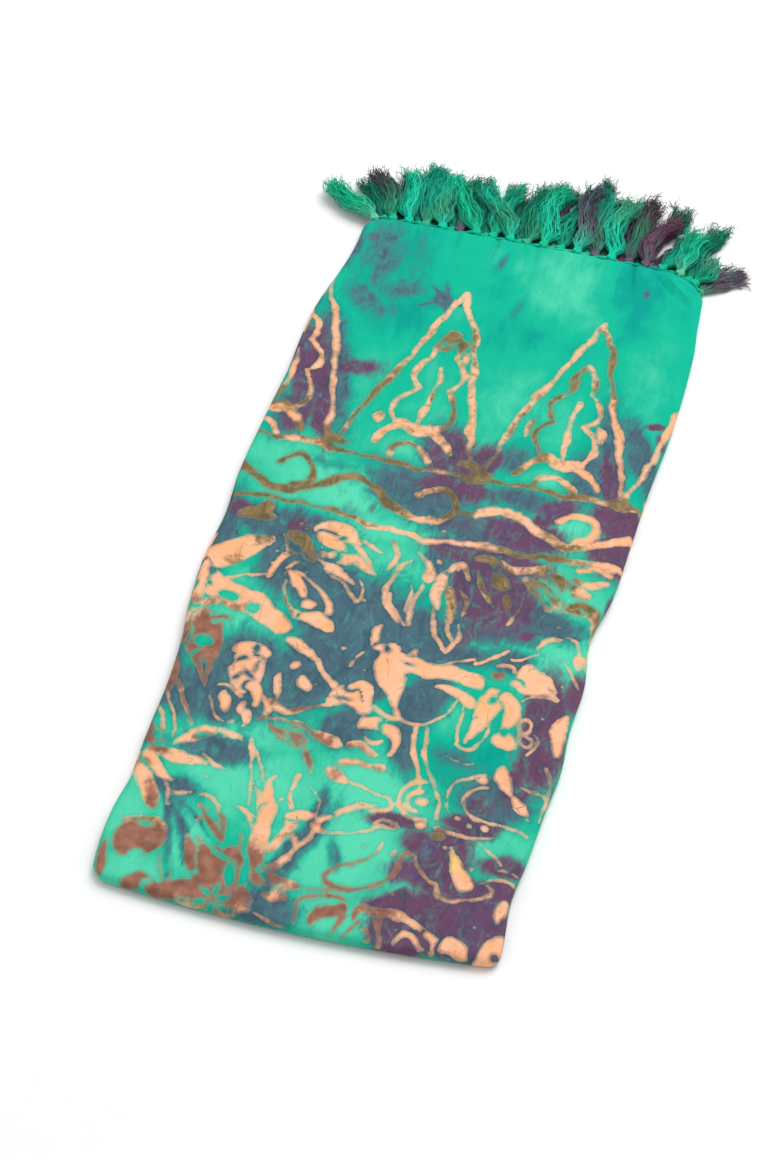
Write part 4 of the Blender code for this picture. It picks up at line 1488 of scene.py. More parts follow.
# Dyes of the areas that the wax kept pale
PEACH = (0.93, 0.42, 0.19)
PALE_PEACH = (0.94, 0.52, 0.33)
TAN = (0.66, 0.32, 0.15)
GOLDEN = (0.90, 0.58, 0.20)
OLIVE_BROWN = (0.125, 0.10, 0.045)
PALE_OLIVE = (0.40, 0.25, 0.11)
RUSSET_BROWN = (0.20, 0.08, 0.058)
PALE_RUSSET = (0.43, 0.20, 0.13)
RIM_TAN = (0.62, 0.36, 0.15)

# The weave in turns a metre, and how deep the crumple and the threads are in metres
WEAVE_SCALE = 520.0
CRUMPLE_DEPTH = 0.0009
WEAVE_DEPTH = 0.00006


def batik_ground(s, depth, noise):
    """The dyed ground outside the wax: teal to mint, with slate and purple clouds."""
    broad, streak, feather = noise
    tint = s.add(s.field("mint"), s.times(broad, 0.36), s.times(streak, 0.16))
    tint = s.add(tint, s.times(feather, 0.14))
    ground = s.mix(s.ramp(tint, 0.0, 1.0), TEAL_GREEN, MINT_GREEN)
    ground = s.mix(s.ramp(tint, 0.0, -0.5), ground, DEEP_TEAL)
    spread = s.add(s.times(feather, 0.30), s.times(streak, 0.08))
    slate = s.add(s.field("slate"), spread)
    ground = s.mix(s.ramp(slate, 0.04, 0.42, 0.0, 0.8), ground, DEEP_TEAL)
    ground = s.mix(s.ramp(slate, 0.22, 0.68), ground, SLATE_BLUE)
    purple = s.add(s.field("purple"), spread)
    ground = s.mix(s.ramp(purple, 0.08, 0.40, 0.0, 0.6), ground, SLATE_BLUE)
    ground = s.mix(s.ramp(purple, 0.24, 0.60), ground, DYE_PURPLE)
    wash = s.noise((26.0, 17.0, 26.0), detail=5.0, roughness=0.62, distortion=1.0)
    plum = s.times(s.ramp(wash, 0.0, 0.9, 0.0, 0.75), s.ramp(purple, 0.3, 0.7))
    ground = s.mix(plum, ground, BLUE_PURPLE)
    clouded = s.math("MAXIMUM", s.ramp(slate, 0.3, 0.8), s.ramp(purple, 0.3, 0.8))
    pale = s.times(s.ramp(wash, -0.1, -0.9, 0.0, 0.65), s.ramp(slate, 0.3, 0.8))
    ground = s.mix(s.times(pale, s.ramp(purple, 0.6, 0.2)), ground, PALE_SLATE)
    dark = s.ramp(feather, -0.5, 0.9, 0.0, 0.7)
    ground = s.mix(s.times(dark, clouded), ground, DARK_INK)
    glint = s.noise((75.0, 40.0, 75.0), detail=5.0, roughness=0.7, distortion=1.5)
    through = s.times(s.ramp(glint, -0.05, 0.85, 0.0, 0.8), clouded)
    ground = s.mix(through, ground, GLINT_TEAL)
    pool = s.times(s.ramp(depth, -2.0, -0.5), s.ramp(feather, -0.8, 0.6, 0.10, 0.70))
    pool = s.times(pool, s.math("MULTIPLY_ADD", clouded, 0.68, 0.32))
    return s.mix(pool, ground, POOL_TEAL)


def batik_waxed(s, depth, noise, fade, lobes):
    """The waxed areas: peach, with gold, olive and russet dyes, cracks and a thin tan rim."""
    broad, streak, feather = noise
    left = s.mix(s.ramp(broad, -0.7, 0.4), PEACH, PALE_PEACH)
    left = s.mix(s.ramp(fade, 0.0, 0.9, 0.0, 0.55), left, TAN)
    gold = s.add(s.field("gold"), s.times(feather, 0.2))
    left = s.mix(s.ramp(gold, 0.3, 0.8, 0.0, 0.85), left, GOLDEN)
    patch = s.times(s.noise(150.0, detail=3.0, distortion=0.5), 0.42)
    olive = s.add(s.field("olive"), s.add(s.times(feather, 0.20), patch))
    tan = s.mix(s.ramp(feather, -0.5, 0.8), OLIVE_BROWN, PALE_OLIVE)
    left = s.mix(s.ramp(olive, 0.22, 0.72), left, tan)
    russet = s.add(s.field("russet"), s.times(feather, 0.26))
    russet = s.math("SUBTRACT", russet, s.times(patch, 0.5))
    blot = s.math("MULTIPLY_ADD", feather, 0.4, s.times(lobes, 0.8))
    brown = s.mix(s.ramp(blot, -0.9, 1.0), RUSSET_BROWN, PALE_RUSSET)
    left = s.mix(s.ramp(russet, 0.26, 0.66), left, brown)
    crack = s.ramp(s.cells((55.0, 38.0, 50.0)), 0.02, 0.006)
    crack = s.times(crack, s.ramp(streak, 0.0, 0.5))
    left = s.mix(s.times(crack, 0.65), left, OLIVE_BROWN)
    rim = s.times(s.ramp(depth, 1.3, 0.1), 0.25)
    return s.mix(rim, left, RIM_TAN)


def batik_material(name):
    s = Shader(name)
    edge = s.noise(230.0, detail=3.0)
    fine = s.noise(900.0)
    fade = s.noise(52.0, detail=4.0, roughness=0.6, distortion=0.6)
    lobes = s.noise(120.0, detail=1.0)
    broad = s.noise((42.0, 30.0, 42.0), detail=4.0, roughness=0.6, distortion=0.8)
    streak = s.noise((160.0, 34.0, 100.0), detail=4.0, distortion=0.4)
    feather = s.noise((110.0, 60.0, 110.0), detail=5.0, roughness=0.65, distortion=1.2)
    depth = s.add(s.field("wax"), s.times(edge, 0.8), s.times(lobes, 0.9), s.times(fine, 0.22))
    thin = s.times(s.ramp(depth, 2.8, 0.5), s.ramp(fade, -0.6, 0.5, 0.08, 0.78))
    waxed = s.times(s.ramp(depth, -0.45, 0.45), s.math("SUBTRACT", 1.0, thin))
    ground = batik_ground(s, depth, (broad, streak, feather))
    left = batik_waxed(s, depth, (broad, streak, feather), fade, lobes)
    thread = s.add(s.bands("X", WEAVE_SCALE), s.bands("Y", WEAVE_SCALE))
    shade = s.add(s.math("MULTIPLY_ADD", thread, 0.05, 0.955), s.times(fine, 0.02))
    tone = s.tree.nodes.new("ShaderNodeCombineColor")
    for socket in tone.inputs:
        s.feed(socket, shade)
    colour = s.mix(1.0, s.mix(waxed, ground, left), tone.outputs[0], blend="MULTIPLY")
    crumple = s.noise((46.0, 15.0, 30.0), detail=3.0, roughness=0.55, distortion=0.5)
    normal = s.bump(thread, WEAVE_DEPTH, under=s.bump(crumple, CRUMPLE_DEPTH))
    s.set(Base_Color=colour, Roughness=s.math("MULTIPLY_ADD", fine, 0.05, 0.74), Normal=normal)
    s.set(Specular_IOR_Level=0.06, Sheen_Weight=0.01, Sheen_Roughness=0.45)
    return s.material


# The fringe's threads: lighter patches, dark flecks, and their twist
FRINGE_PALE = (0.04, 0.62, 0.42)
FRINGE_DARK = (0.0, 0.12, 0.08)
TWIST_SCALE = 300.0
TWIST_DEPTH = 0.00008


def fringe_material():
    s = Shader("fringe_threads")
    fine = s.noise(700.0)
    patch = s.noise((90.0, 50.0, 90.0), detail=3.0)
    # The threads' colour field holds their dyes with painted shade and painted light already in it
    colour = s.mix(s.ramp(patch, 0.1, 1.0, 0.0, 0.35), s.field("dye_and_painted_shade", "Color"), FRINGE_PALE)
    colour = s.mix(s.ramp(fine, -0.2, -1.0, 0.0, 0.5), colour, FRINGE_DARK)
    normal = s.bump(s.bands("DIAGONAL", TWIST_SCALE), TWIST_DEPTH)
    s.set(Base_Color=colour, Roughness=s.math("MULTIPLY_ADD", fine, 0.06, 0.82), Normal=normal)
    s.set(Specular_IOR_Level=0.12, Sheen_Weight=0.06)
    return s.material


# How the pattern lies on the hidden layers and on the rolled hem, next to the cloth's own
LAYERS_PATTERN_SCALE = 0.97
LAYERS_PATTERN_MOVE = (7.0, -9.0)
HEM_PATTERN_MOVE = (0.0, -6.0)


def dress_cloth(thing, places, material):
    """Gives a cloth piece its pattern fields and material."""
    set_field(thing, "wax", wax_depth(places))
    wandering = wavered(places)
    for name, clouds in (("purple", PURPLE), ("slate", SLATE), ("olive", OLIVE),
                         ("russet", RUSSET), ("gold", GOLD)):
        set_field(thing, name, cloud_field(clouds, wandering))
    set_field(thing, "mint", cloud_field(MINT, wandering) - cloud_field(DEEP, wandering))
    thing.data.materials.append(material)


cloth_points, pattern_places, cloth_faces = cloth_mesh()
cloth = make_mesh("cloth_leaf", cloth_points + SHIFT, cloth_faces)
dress_cloth(cloth, pattern_places, batik_material("batik"))
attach(cloth, "root")
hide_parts("upper_leaf")

edge_points, edge_faces = edge_mesh()
layers = make_mesh("layered_edges", edge_points + SHIFT, edge_faces)
layer_places = edge_points[:, :2] * LAYERS_PATTERN_SCALE + LAYERS_PATTERN_MOVE
dress_cloth(layers, layer_places, batik_material("batik_layers"))
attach(layers, "root")
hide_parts("folded_layers")

# The knotted fringe: where the tassels stand on the hem, in four rows one above the other
HEM_SAMPLES = 300
HEM_SIDE_END = 0.85
TASSEL_COUNT = 40
TASSEL_PITCH = 7.2
FIRST_TASSEL = 2.0
ROW_ORDER = (0, 2, 1, 3)
ROW_HEAD_HEIGHT = (9.3, 7.3, 5.2, 3.2)
ROW_TIP_HEIGHT = (7.6, 5.6, 3.5, 1.4)
ROW_HEAD_INSET = (-2.9, -4.3, -4.1, -4.2)
ROW_BUNDLE_HEIGHT = (9.5, 6.5, 5.0, 4.0)
# Painted light and shade of each row: the top row lighter, the lower rows darker
ROW_PAINTED_SHADE = (1.14, 0.96, 0.82, 0.70)
FRINGE_SEED = 100

# How the tassels lean, in degrees: two waves along the hem, a turn of the middle ones, and their own
LONG_LEAN = 5.0
LONG_LEAN_STRETCH = 27.0
LONG_LEAN_ROW_TURN = 1.9
SHORT_LEAN = 3.0
SHORT_LEAN_STRETCH = 61.0
SHORT_LEAN_ROW_TURN = 0.8
ROW_TURN = (-14.0, -5.0, -8.0, 0.0)
TURNED_TASSELS = (3.0, 7.0, 29.0, 34.0)
TASSEL_TURN = 8.0

# The spread of a tassel: half widths, how it fans out, sinks and bends, and its slow sway
ROOT_REACH = -4.5
ROOT_HALF_WIDTH = 2.2
FAN_HALF_WIDTH = 7.2
FAN_START = 0.0
FAN_LENGTH = 12.0
DROP_LENGTH = 40.0
TASSEL_BEND = 10.0
TASSEL_SWAY = 2.6
TASSEL_SWAY_STRETCH = 11.0
TASSEL_LENGTHS = (0.88, 1.05)
WIDE_TASSEL = 40
OPEN_WIDTH = 1.5

# Its locks: how far their threads gather, their own lengths, their wave and their kinks
LOCKS_PER_TASSEL = 5
LOCK_GATHER = 0.16
LOCK_GATHER_LENGTH = 60.0
LOCK_LENGTH_CHANGE = 0.07
LOCK_LENGTH_TURN = 1.3
TASSEL_LENGTH_TURN = 2.1
LOCK_WAVE = 2.4
LOCK_WAVE_STRETCH = 13.0
LOCK_WAVE_ROW_TURN = 2.3
LOCK_WAVE_HEM_STRETCH = 40.0
LOCK_KINK = 0.8
LOCK_KINK_STRETCHES = (2.4, 4.4)
LOCK_LIFT = 0.5
LOCK_LIFT_STRETCH = 5.8

# Its threads: spread, length, waves, and the loose curls toward their ends
THREADS_PER_TASSEL = 166
THREAD_STEPS = 17
END_STEPS = 0.07
THREAD_SIDES = 3
THREAD_RADIUS = 0.34
THREAD_RADII = (0.8, 1.15)
THREAD_TAPER = 0.35
THREAD_TAPER_POWER = 6
THREAD_SPREAD = 0.62
WIDEST_THREAD = 1.15
THREAD_LENGTHS = (0.80, 1.03)
THREAD_WAVE = 0.75
THREAD_WAVE_STRETCH = 3.3
THREAD_LIFT = 0.3
THREAD_LIFT_STRETCH = 3.1
LEAST_THREAD_HEIGHT = 0.4
LOOSE_FROM = 0.68
LOOSE_SPREAD = 2.6
LOOSE_LIFTS = (-2.0, 3.0)
CURL_SIZES = (1.2, 3.4)
CURL_STRETCH = 1.7
CURL_LIFT = 0.7

# How high the bundle of threads stands along a tassel
BUNDLE_MIDDLE = 0.35
BUNDLE_LEAST = 0.12
BUNDLE_LEAD = 2.0
BUNDLE_TAIL = 12.0
BUNDLE_POWER = 0.7

# Thread colours: each its own tone, painted shade darker down in the bundle, painted light where
# nothing covers it
THREAD_SHADES = (0.5, 1.3)
PAINTED_SHADE_BASE_HEIGHT = 1.0
PAINTED_SHADE_FULL_HEIGHT = 12.0
PAINTED_SHADE_GAIN = 0.95
PAINTED_SHADE_LEAST = 0.22
PAINTED_LIGHT_TASSELS = (1, 39, 40)
PAINTED_OPEN_LIGHT = 0.85
PALE_THREADS = 0.3
PALE_POWER = 3

# One row for each place where the fringe changes: the tassel's number from the left, its length,
# and its lean from +Y toward +X in degrees. The tassels between follow on evenly
FRINGE = table(
    "number length lean",
    (1, 55, -60),
    (2, 54, -34),
    (3, 59, -9),
    (4, 66, -15),
    (5, 68, -8),
    (8, 71, 0),
    (11, 61, 0),
    (14, 68, 0),
    (17, 63, 0),
    (20, 76, 0),
    (24, 90, 1),
    (26, 77, 3),
    (30, 78, 8),
    (32, 80, 13),
    (33, 60, 13),
    (34, 48, 14),
    (36, 40, 16),
    (37, 54, 8),
    (38, 66, 2),
    (39, 34, 20),
    (40, 48, 50),
)

# Dyes of the threads
GREEN = (0.0, 0.53, 0.30)
TEAL = (0.0, 0.58, 0.39)
PALE_GREEN = (0.12, 0.56, 0.38)
SAGE = (0.055, 0.42, 0.245)
GREY_PURPLE = (0.14, 0.10, 0.16)
MAROON = (0.15, 0.03, 0.09)
DARK_PURPLE = (0.06, 0.035, 0.08)
PALE_PURPLE = (0.24, 0.16, 0.24)
SILVER_GREEN = (0.09, 0.56, 0.40)

# Dyes along the tassels that aren't plain green: at the knot, in the middle and at the tips
DYES = table(
    "number knot middle tip",
    (1, PALE_GREEN, GREEN, GREEN),
    (3, GREEN, SAGE, GREY_PURPLE),
    (4, SAGE, GREEN, SAGE),
    (5, TEAL, TEAL, TEAL),
    (7, SAGE, TEAL, TEAL),
    (9, TEAL, SAGE, TEAL),
    (11, GREY_PURPLE, SAGE, SAGE),
    (13, GREEN, GREEN, GREEN),
    (17, TEAL, SAGE, TEAL),
    (19, SAGE, GREEN, GREEN),
    (21, GREEN, TEAL, GREEN),
    (22, SAGE, GREY_PURPLE, GREY_PURPLE),
    (25, TEAL, GREY_PURPLE, DARK_PURPLE),
    (27, GREY_PURPLE, SAGE, TEAL),
    (28, SAGE, SAGE, GREY_PURPLE),
    (29, TEAL, TEAL, SAGE),
    (30, MAROON, GREY_PURPLE, MAROON),
    (31, GREY_PURPLE, SAGE, MAROON),
    (33, GREY_PURPLE, MAROON, MAROON),
    (34, GREY_PURPLE, MAROON, SAGE),
    (37, PALE_GREEN, TEAL, GREEN),
    (39, GREEN, GREEN, PALE_GREEN),
    (40, SAGE, PALE_PURPLE, PALE_PURPLE),
)
PLAIN_DYE = (GREEN, TEAL, GREEN)
DYE_PLACES = (0.05, 0.45, 0.9)


def hem_outline(count):
    """Points along the hem from the left corner, around the right corner to the right side."""
    x, y = plan_point(np.linspace(-1.0, 1.0, count), np.ones(count), 0.0)
    side_v = np.linspace(1.0, HEM_SIDE_END, count)[1:]
    side_x, side_y = plan_point(np.ones(count - 1), side_v, 0.0)
    return np.concatenate([x, side_x]), np.concatenate([y, side_y])


def tassel_base(index):
    """Place on the hem and outward direction of one tassel, both in plan."""
    x, y = hem_outline(HEM_SAMPLES)
    travelled = np.concatenate([[0.0], np.cumsum(np.hypot(np.diff(x), np.diff(y)))])
    here = FIRST_TASSEL + TASSEL_PITCH * index
    dx = np.interp(here + 1.0, travelled, x) - np.interp(here - 1.0, travelled, x)
    dy = np.interp(here + 1.0, travelled, y) - np.interp(here - 1.0, travelled, y)
    size = math.hypot(dx, dy)
    return np.interp(here, travelled, x), np.interp(here, travelled, y), -dy / size, dx / size


def fringe_value(name, index):
    """One column of the fringe table, followed evenly from tassel to tassel."""
    numbers = [row.number for row in FRINGE]
    return float(np.interp(index + 1, numbers, [getattr(row, name) for row in FRINGE]))


def tassel_lean(index, x, row):
    """The lean from +Y toward +X, in degrees, before the tassel's own small turn."""
    long_wave = LONG_LEAN * math.sin(x / LONG_LEAN_STRETCH + LONG_LEAN_ROW_TURN * row)
    short_wave = SHORT_LEAN * math.sin(x / SHORT_LEAN_STRETCH + SHORT_LEAN_ROW_TURN * row)
    low, full, still, high = TURNED_TASSELS
    middle = smoothstep(low, full, index + 1) * (1.0 - smoothstep(still, high, index + 1))
    return fringe_value("lean", index) + long_wave + short_wave + ROW_TURN[row] * middle


def thread_paths(index, row, head, lean, rng):
    """Centre lines of all threads of a tassel, threads x steps x 3, and the share along each."""
    count = THREADS_PER_TASSEL
    whole_turn = 2.0 * math.pi
    length = fringe_value("length", index)
    across = np.clip(rng.normal(0.0, THREAD_SPREAD, count), -WIDEST_THREAD, WIDEST_THREAD)
    above = rng.uniform(0.0, 1.0, count)
    lock = np.floor((across + 1.0) / 2.0 * LOCKS_PER_TASSEL).clip(0, LOCKS_PER_TASSEL - 1)
    lock_middle = (lock + 0.5) / LOCKS_PER_TASSEL * 2.0 - 1.0
    length_turn = TASSEL_LENGTH_TURN * index + LOCK_LENGTH_TURN * lock
    own_length = length * (1.0 + LOCK_LENGTH_CHANGE * np.sin(length_turn))
    own_length = own_length * rng.uniform(*THREAD_LENGTHS, count) * rng.uniform(*TASSEL_LENGTHS)
    share = np.linspace(0.0, 1.0, THREAD_STEPS)[None, :]
    share = share - END_STEPS * np.sin(whole_turn * share)
    reach = ROOT_REACH + share * (own_length[:, None] - ROOT_REACH)
    fan = smoothstep(FAN_START, FAN_LENGTH, reach)
    bend = TASSEL_BEND * rng.uniform(-1.0, 1.0)
    sway_turn = rng.uniform(0.0, whole_turn)
    lock_number = lock.astype(int)
    lock_turn = rng.uniform(0.0, whole_turn, LOCKS_PER_TASSEL)[lock_number][:, None]
    lock_stretch = rng.uniform(*LOCK_KINK_STRETCHES, LOCKS_PER_TASSEL)[lock_number][:, None]
    own_turn = rng.uniform(0.0, whole_turn, count)[:, None]
    loose = clamp01((share - LOOSE_FROM) / (1.0 - LOOSE_FROM)) ** 2

    # How far each thread lies to the side of its tassel's own line
    gather = LOCK_GATHER * np.sin(math.pi * clamp01(reach / LOCK_GATHER_LENGTH))
    place = across[:, None] + (lock_middle - across)[:, None] * gather
    half_width = FAN_HALF_WIDTH * (OPEN_WIDTH if index + 1 == WIDE_TASSEL else 1.0)
    sideways = place * (ROOT_HALF_WIDTH + (half_width - ROOT_HALF_WIDTH) * fan)
    wave_turn = LOCK_WAVE_ROW_TURN * row + head[0] / LOCK_WAVE_HEM_STRETCH
    sideways += LOCK_WAVE * fan * np.sin(reach / LOCK_WAVE_STRETCH + wave_turn)
    sideways += TASSEL_SWAY * fan * np.sin(reach / TASSEL_SWAY_STRETCH + sway_turn)
    sideways += bend * share ** 2
    sideways += LOCK_KINK * fan * np.sin(reach / lock_stretch + lock_turn)
    sideways += THREAD_WAVE * fan * np.sin(reach / THREAD_WAVE_STRETCH + own_turn)
    sideways += loose * rng.normal(0.0, LOOSE_SPREAD, count)[:, None]
    curl = rng.uniform(*CURL_SIZES, count)[:, None] * loose
    curl_turn = reach / CURL_STRETCH + own_turn
    sideways += curl * np.sin(curl_turn)
    forward = reach + curl * np.cos(curl_turn)

    # How high it lies
    drop = smoothstep(0.0, DROP_LENGTH, reach)
    z = head[2] + (ROW_TIP_HEIGHT[row] - head[2]) * drop
    plump = np.sin(math.pi * clamp01((reach + BUNDLE_LEAD) / (length + BUNDLE_TAIL))) ** BUNDLE_POWER
    plump = BUNDLE_LEAST + (1.0 - BUNDLE_LEAST) * plump
    z = z + (above[:, None] - BUNDLE_MIDDLE) * ROW_BUNDLE_HEIGHT[row] * plump
    z = z + LOCK_LIFT * fan * np.cos(reach / LOCK_LIFT_STRETCH + lock_turn)
    z = z + THREAD_LIFT * np.sin(reach / THREAD_LIFT_STRETCH + 2.0 * own_turn)
    z = z + loose * rng.uniform(*LOOSE_LIFTS, count)[:, None]
    z = z + CURL_LIFT * curl * np.cos(curl_turn)
    a = math.radians(lean)
    x = head[0] + forward * math.sin(a) + sideways * math.cos(a)
    y = head[1] + forward * math.cos(a) - sideways * math.sin(a)
    z = np.maximum(z, LEAST_THREAD_HEIGHT)
    return np.stack([x, y, z], axis=2), share * np.ones((count, 1))


TINY = 1e-9


def tubes(paths, radii, sides):
    """Tubes around many centre lines of equal step count: points and faces."""
    count, steps, _ = paths.shape
    ahead = np.gradient(paths, axis=1)
    ahead /= np.linalg.norm(ahead, axis=2, keepdims=True) + TINY
    across = np.cross(ahead, (0.0, 0.0, 1.0))
    across /= np.linalg.norm(across, axis=2, keepdims=True) + TINY
    above = np.cross(across, ahead)
    a = 2.0 * math.pi * np.arange(sides) / sides + math.pi / 2.0
    ring = (across[:, :, None] * np.cos(a)[None, None, :, None]
            + above[:, :, None] * np.sin(a)[None, None, :, None])
    points = paths[:, :, None] + ring * radii[:, :, None, None]
    number = np.arange(count * steps * sides).reshape(count, steps, sides)
    low, high = number[:, :-1], number[:, 1:]
    faces = np.stack([low, np.roll(low, -1, 2), np.roll(high, -1, 2), high], axis=-1)
    return points.reshape(-1, 3), faces.reshape(-1, 4)


# The overhand knot at a tassel's head
KNOT_STEPS = 40
KNOT_SIDES = 8
KNOT_RADIUS = 1.6
KNOT_HALF_WIDTH = 2.7
KNOT_HALF_LENGTH = 2.4
KNOT_HALF_HEIGHT = 1.5
KNOT_BACK = 1.8


def knot_paths(head, lean):
    """The centre line of an overhand knot around the tassel's head."""
    t = np.linspace(0.0, 2.0 * math.pi, KNOT_STEPS)
    across = (np.sin(t) + 2.0 * np.sin(2.0 * t)) / 3.0 * KNOT_HALF_WIDTH
    forward = (np.cos(t) - 2.0 * np.cos(2.0 * t)) / 3.0 * KNOT_HALF_LENGTH - KNOT_BACK
    up = -np.sin(3.0 * t) * KNOT_HALF_HEIGHT
    a = math.radians(lean)
    x = head[0] + forward * math.sin(a) + across * math.cos(a)
    y = head[1] + forward * math.cos(a) - across * math.sin(a)
    return np.stack([x, y, head[2] + up], axis=1)[None]


def dye_colours(index, share):
    """Colour at each share of a tassel's length."""
    dyes = {row.number: (row.knot, row.middle, row.tip) for row in DYES}
    stops = np.array(dyes.get(index + 1, PLAIN_DYE))
    return np.stack([np.interp(share, DYE_PLACES, stops[:, k]) for k in range(3)], axis=-1)


def thread_colours(index, row, share, heights, rng):
    """Colour of every thread at every step: its own tone, times painted shade by its height and row.
    """
    own = rng.uniform(*THREAD_SHADES, (len(share), 1, 1))
    # Painted shade: the lower a thread lies in the bundle, the darker its colour
    high = clamp01((heights - PAINTED_SHADE_BASE_HEIGHT) / PAINTED_SHADE_FULL_HEIGHT)[:, :, None]
    shade = (high * PAINTED_SHADE_GAIN + PAINTED_SHADE_LEAST) * ROW_PAINTED_SHADE[row]
    # Painted light: tassels with nothing over them are made lighter
    if index + 1 in PAINTED_LIGHT_TASSELS:
        shade = np.maximum(shade, PAINTED_OPEN_LIGHT)
    pale = PALE_THREADS * rng.uniform(0.0, 1.0, (len(share), 1, 1)) ** PALE_POWER
    dyed = dye_colours(index, share) * (1.0 - pale) + np.array(SILVER_GREEN) * pale
    return (dyed * own * shade)[:, :, None].repeat(THREAD_SIDES, axis=2).reshape(-1, 3)


def make_tassel(index, material):
    row = ROW_ORDER[index % len(ROW_ORDER)]
    px, py, nx, ny = tassel_base(index)
    outset = -ROW_HEAD_INSET[row]
    head = (px + nx * outset, py + ny * outset, ROW_HEAD_HEIGHT[row])
    rng = np.random.default_rng(FRINGE_SEED + index)
    lean = tassel_lean(index, head[0], row) + TASSEL_TURN * rng.uniform(-1.0, 1.0)
    paths, share = thread_paths(index, row, head, lean, rng)
    taper = 1.0 - THREAD_TAPER * share ** THREAD_TAPER_POWER
    radii = THREAD_RADIUS * taper * rng.uniform(*THREAD_RADII, (len(share), 1))
    points, faces = tubes(paths, radii, THREAD_SIDES)
    colours = thread_colours(index, row, share, paths[:, :, 2], rng)
    knot_path = knot_paths(head, lean)
    knot_radii = np.full(knot_path.shape[:2], KNOT_RADIUS)
    knot_points, knot_faces = tubes(knot_path, knot_radii, KNOT_SIDES)
    knot_colours = dye_colours(index, np.zeros(len(knot_points)))
    all_points = np.concatenate([points, knot_points])
    all_faces = np.concatenate([faces, knot_faces + len(points)])
    tassel = make_mesh("tassel_threads_%02d" % (index + 1), all_points + SHIFT, all_faces)
    rgb = np.concatenate([colours, knot_colours])
    rgba = np.concatenate([rgb, np.ones((len(rgb), 1))], axis=1)
    # Each vertex keeps its dye times the painted shade and light
    field = tassel.data.attributes.new("dye_and_painted_shade", "FLOAT_COLOR", "POINT")
    field.data.foreach_set("color", rgba.astype(np.float32).ravel())
    tassel.data.materials.append(material)
    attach(tassel, "root")
    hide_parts("tassel_%02d" % (index + 1))
    return tassel


# The rolled edge along the hem: its radius, how far it stands up and out, and its small waves
HEM_ROLL_STEPS = 700
HEM_ROLL_SIDES = 8
HEM_ROLL_RADIUS = 1.05
HEM_ROLL_PAST_END = 4.0
HEM_ROLL_LIFT = 0.3
HEM_ROLL_OUT = 1.8
HEM_ROLL_IN = 0.7
HEM_PULL_POWER = 0.6
HEM_SHOULDER_SHARE = 0.985
LIFT_WAVES = ((0.7, 4.3), (0.3, 1.9))
OUT_WAVES = ((0.5, 6.1),)
RADIUS_WAVES = ((0.25, 3.1), (0.15, 1.3))


def small_waves(waves, travelled):
    """The sum of waves along a line, each with its size and its stretch."""
    return sum(size * np.sin(travelled / stretch) for size, stretch in waves)


def make_rolled_hem(material):
    """The thin rolled edge along the hem, drawn in a little at every knot of the upper row."""
    x, y = hem_outline(HEM_ROLL_STEPS)
    travelled = np.concatenate([[0.0], np.cumsum(np.hypot(np.diff(x), np.diff(y)))])
    keep = travelled < FIRST_TASSEL + TASSEL_PITCH * (TASSEL_COUNT - 1) + HEM_ROLL_PAST_END
    x, y, travelled = x[keep], y[keep], travelled[keep]
    from_knot = (travelled - FIRST_TASSEL) / (TASSEL_PITCH * len(ROW_ORDER))
    pull = np.abs(np.sin(math.pi * from_knot)) ** HEM_PULL_POWER
    height = top_height(x * HEM_SHOULDER_SHARE, y - SIDE_REACH)
    z = side_profile(CUT_TURN, height, 0.0)[1] + HEM_ROLL_LIFT + small_waves(LIFT_WAVES, travelled)
    out = HEM_ROLL_OUT * (1.0 - pull) - HEM_ROLL_IN + small_waves(OUT_WAVES, travelled)
    dx, dy = np.gradient(x), np.gradient(y)
    size = np.hypot(dx, dy)
    path = np.stack([x - dy / size * out, y + dx / size * out, z], axis=1)[None]
    radii = HEM_ROLL_RADIUS * (1.0 + small_waves(RADIUS_WAVES, travelled))
    points, faces = tubes(path, radii[None], HEM_ROLL_SIDES)
    hem = make_mesh("rolled_hem", points + SHIFT, faces)
    dress_cloth(hem, points[:, :2] + HEM_PATTERN_MOVE, material)
    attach(hem, "root")
    return hem


threads = fringe_material()
for index in range(TASSEL_COUNT):
    tassel = make_tassel(index, threads)
hem = make_rolled_hem(cloth.data.materials[0])

# The camera, in metres, millimetres of lens, and degrees
CAMERA_DISTANCE = 2.097
CAMERA_TURN = 15.37
CAMERA_HEIGHT_ANGLE = 49.91
TARGET = (-0.0172, -0.0312, 0.0)
LENS = 86.9
SENSOR = 36.0

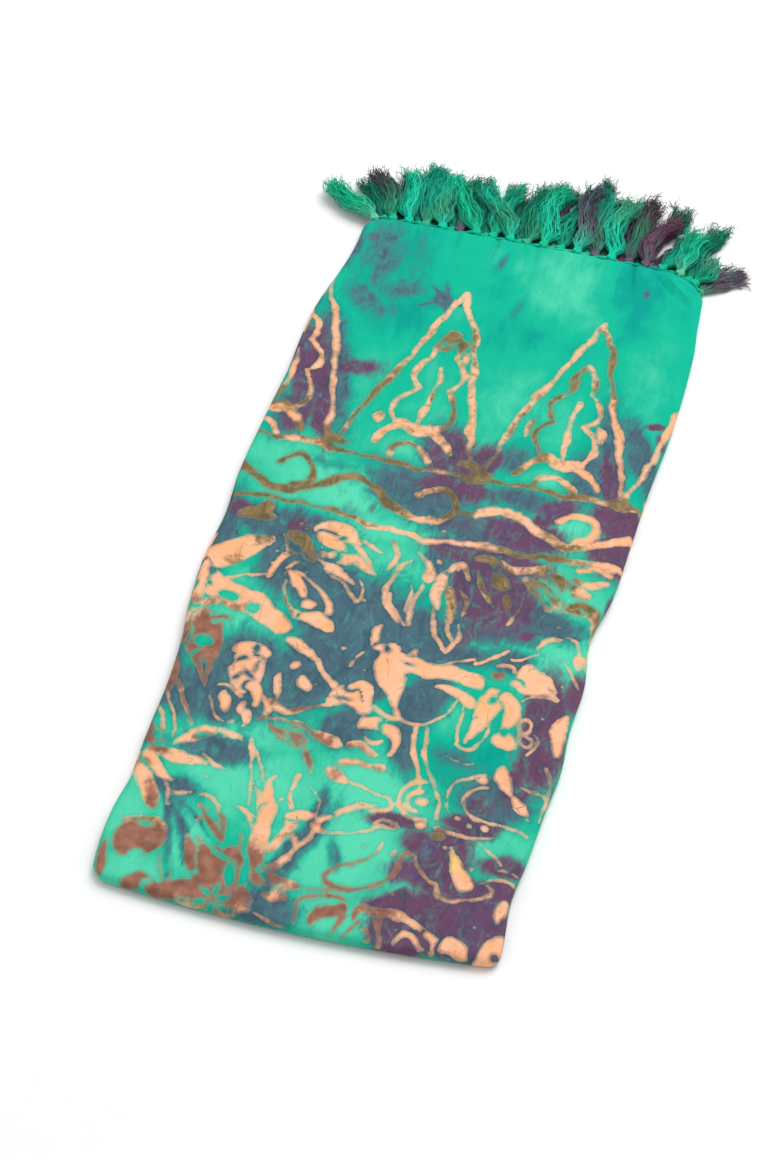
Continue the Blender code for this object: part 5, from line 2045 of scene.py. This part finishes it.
turn = math.radians(CAMERA_TURN)
rise = math.radians(CAMERA_HEIGHT_ANGLE)
away = Vector((-math.sin(turn), math.cos(turn), 0.0))
sideways = Vector((math.cos(turn), math.sin(turn), 0.0))
back = -away * math.cos(rise) + Vector((0.0, 0.0, math.sin(rise)))
upward = back.cross(sideways)
target = Vector(TARGET) + Vector(SHIFT) * MM
camera_data = bpy.data.cameras.new("camera")
camera_data.sensor_fit = "VERTICAL"
camera_data.sensor_height = SENSOR
camera_data.lens = LENS
camera = bpy.data.objects.new("camera", camera_data)
bpy.context.scene.collection.objects.link(camera)
axes = Matrix((sideways, upward, back)).transposed().to_4x4()
camera.matrix_world = Matrix.Translation(target + back * CAMERA_DISTANCE) @ axes
bpy.context.scene.camera = camera

# The white floor, in millimetres
FLOOR_HALF = 4000.0
FLOOR_HEIGHT = -0.2
FLOOR_CORNERS = ((-1, -1), (1, -1), (1, 1), (-1, 1))
PAPER_GREY = (0.90, 0.90, 0.90)
PAPER_WHITE = (0.93, 0.93, 0.93)
floor_points = [(x * FLOOR_HALF, y * FLOOR_HALF, FLOOR_HEIGHT) for x, y in FLOOR_CORNERS]
floor = make_mesh("floor", floor_points, [(0, 1, 2, 3)], smooth=False)
paper = Shader("floor_paper")
paper_share = paper.ramp(paper.noise(60.0), -1.0, 1.0)
paper.set(Base_Color=paper.mix(paper_share, PAPER_GREY, PAPER_WHITE), Roughness=0.8)
floor.data.materials.append(paper.material)

# Soft light from all around, and one large lamp
WORLD_STRENGTH = 0.63
KEY_ENERGY = 99.0
KEY_SIZE = 2.6
KEY_PLACE = (0.85, 1.6, 3.1)
world = bpy.data.worlds.new("studio")
bpy.context.scene.world = world
world.use_nodes = True
world.node_tree.nodes["Background"].inputs["Color"].default_value = (1.0, 1.0, 1.0, 1.0)
world.node_tree.nodes["Background"].inputs["Strength"].default_value = WORLD_STRENGTH
bpy.context.scene.view_settings.view_transform = "Standard"
key_data = bpy.data.lights.new("key", "AREA")
key_data.energy = KEY_ENERGY
key_data.size = KEY_SIZE
key = bpy.data.objects.new("key", key_data)
bpy.context.scene.collection.objects.link(key)
key.location = KEY_PLACE
key.rotation_euler = (-key.location).to_track_quat("-Z", "Y").to_euler()
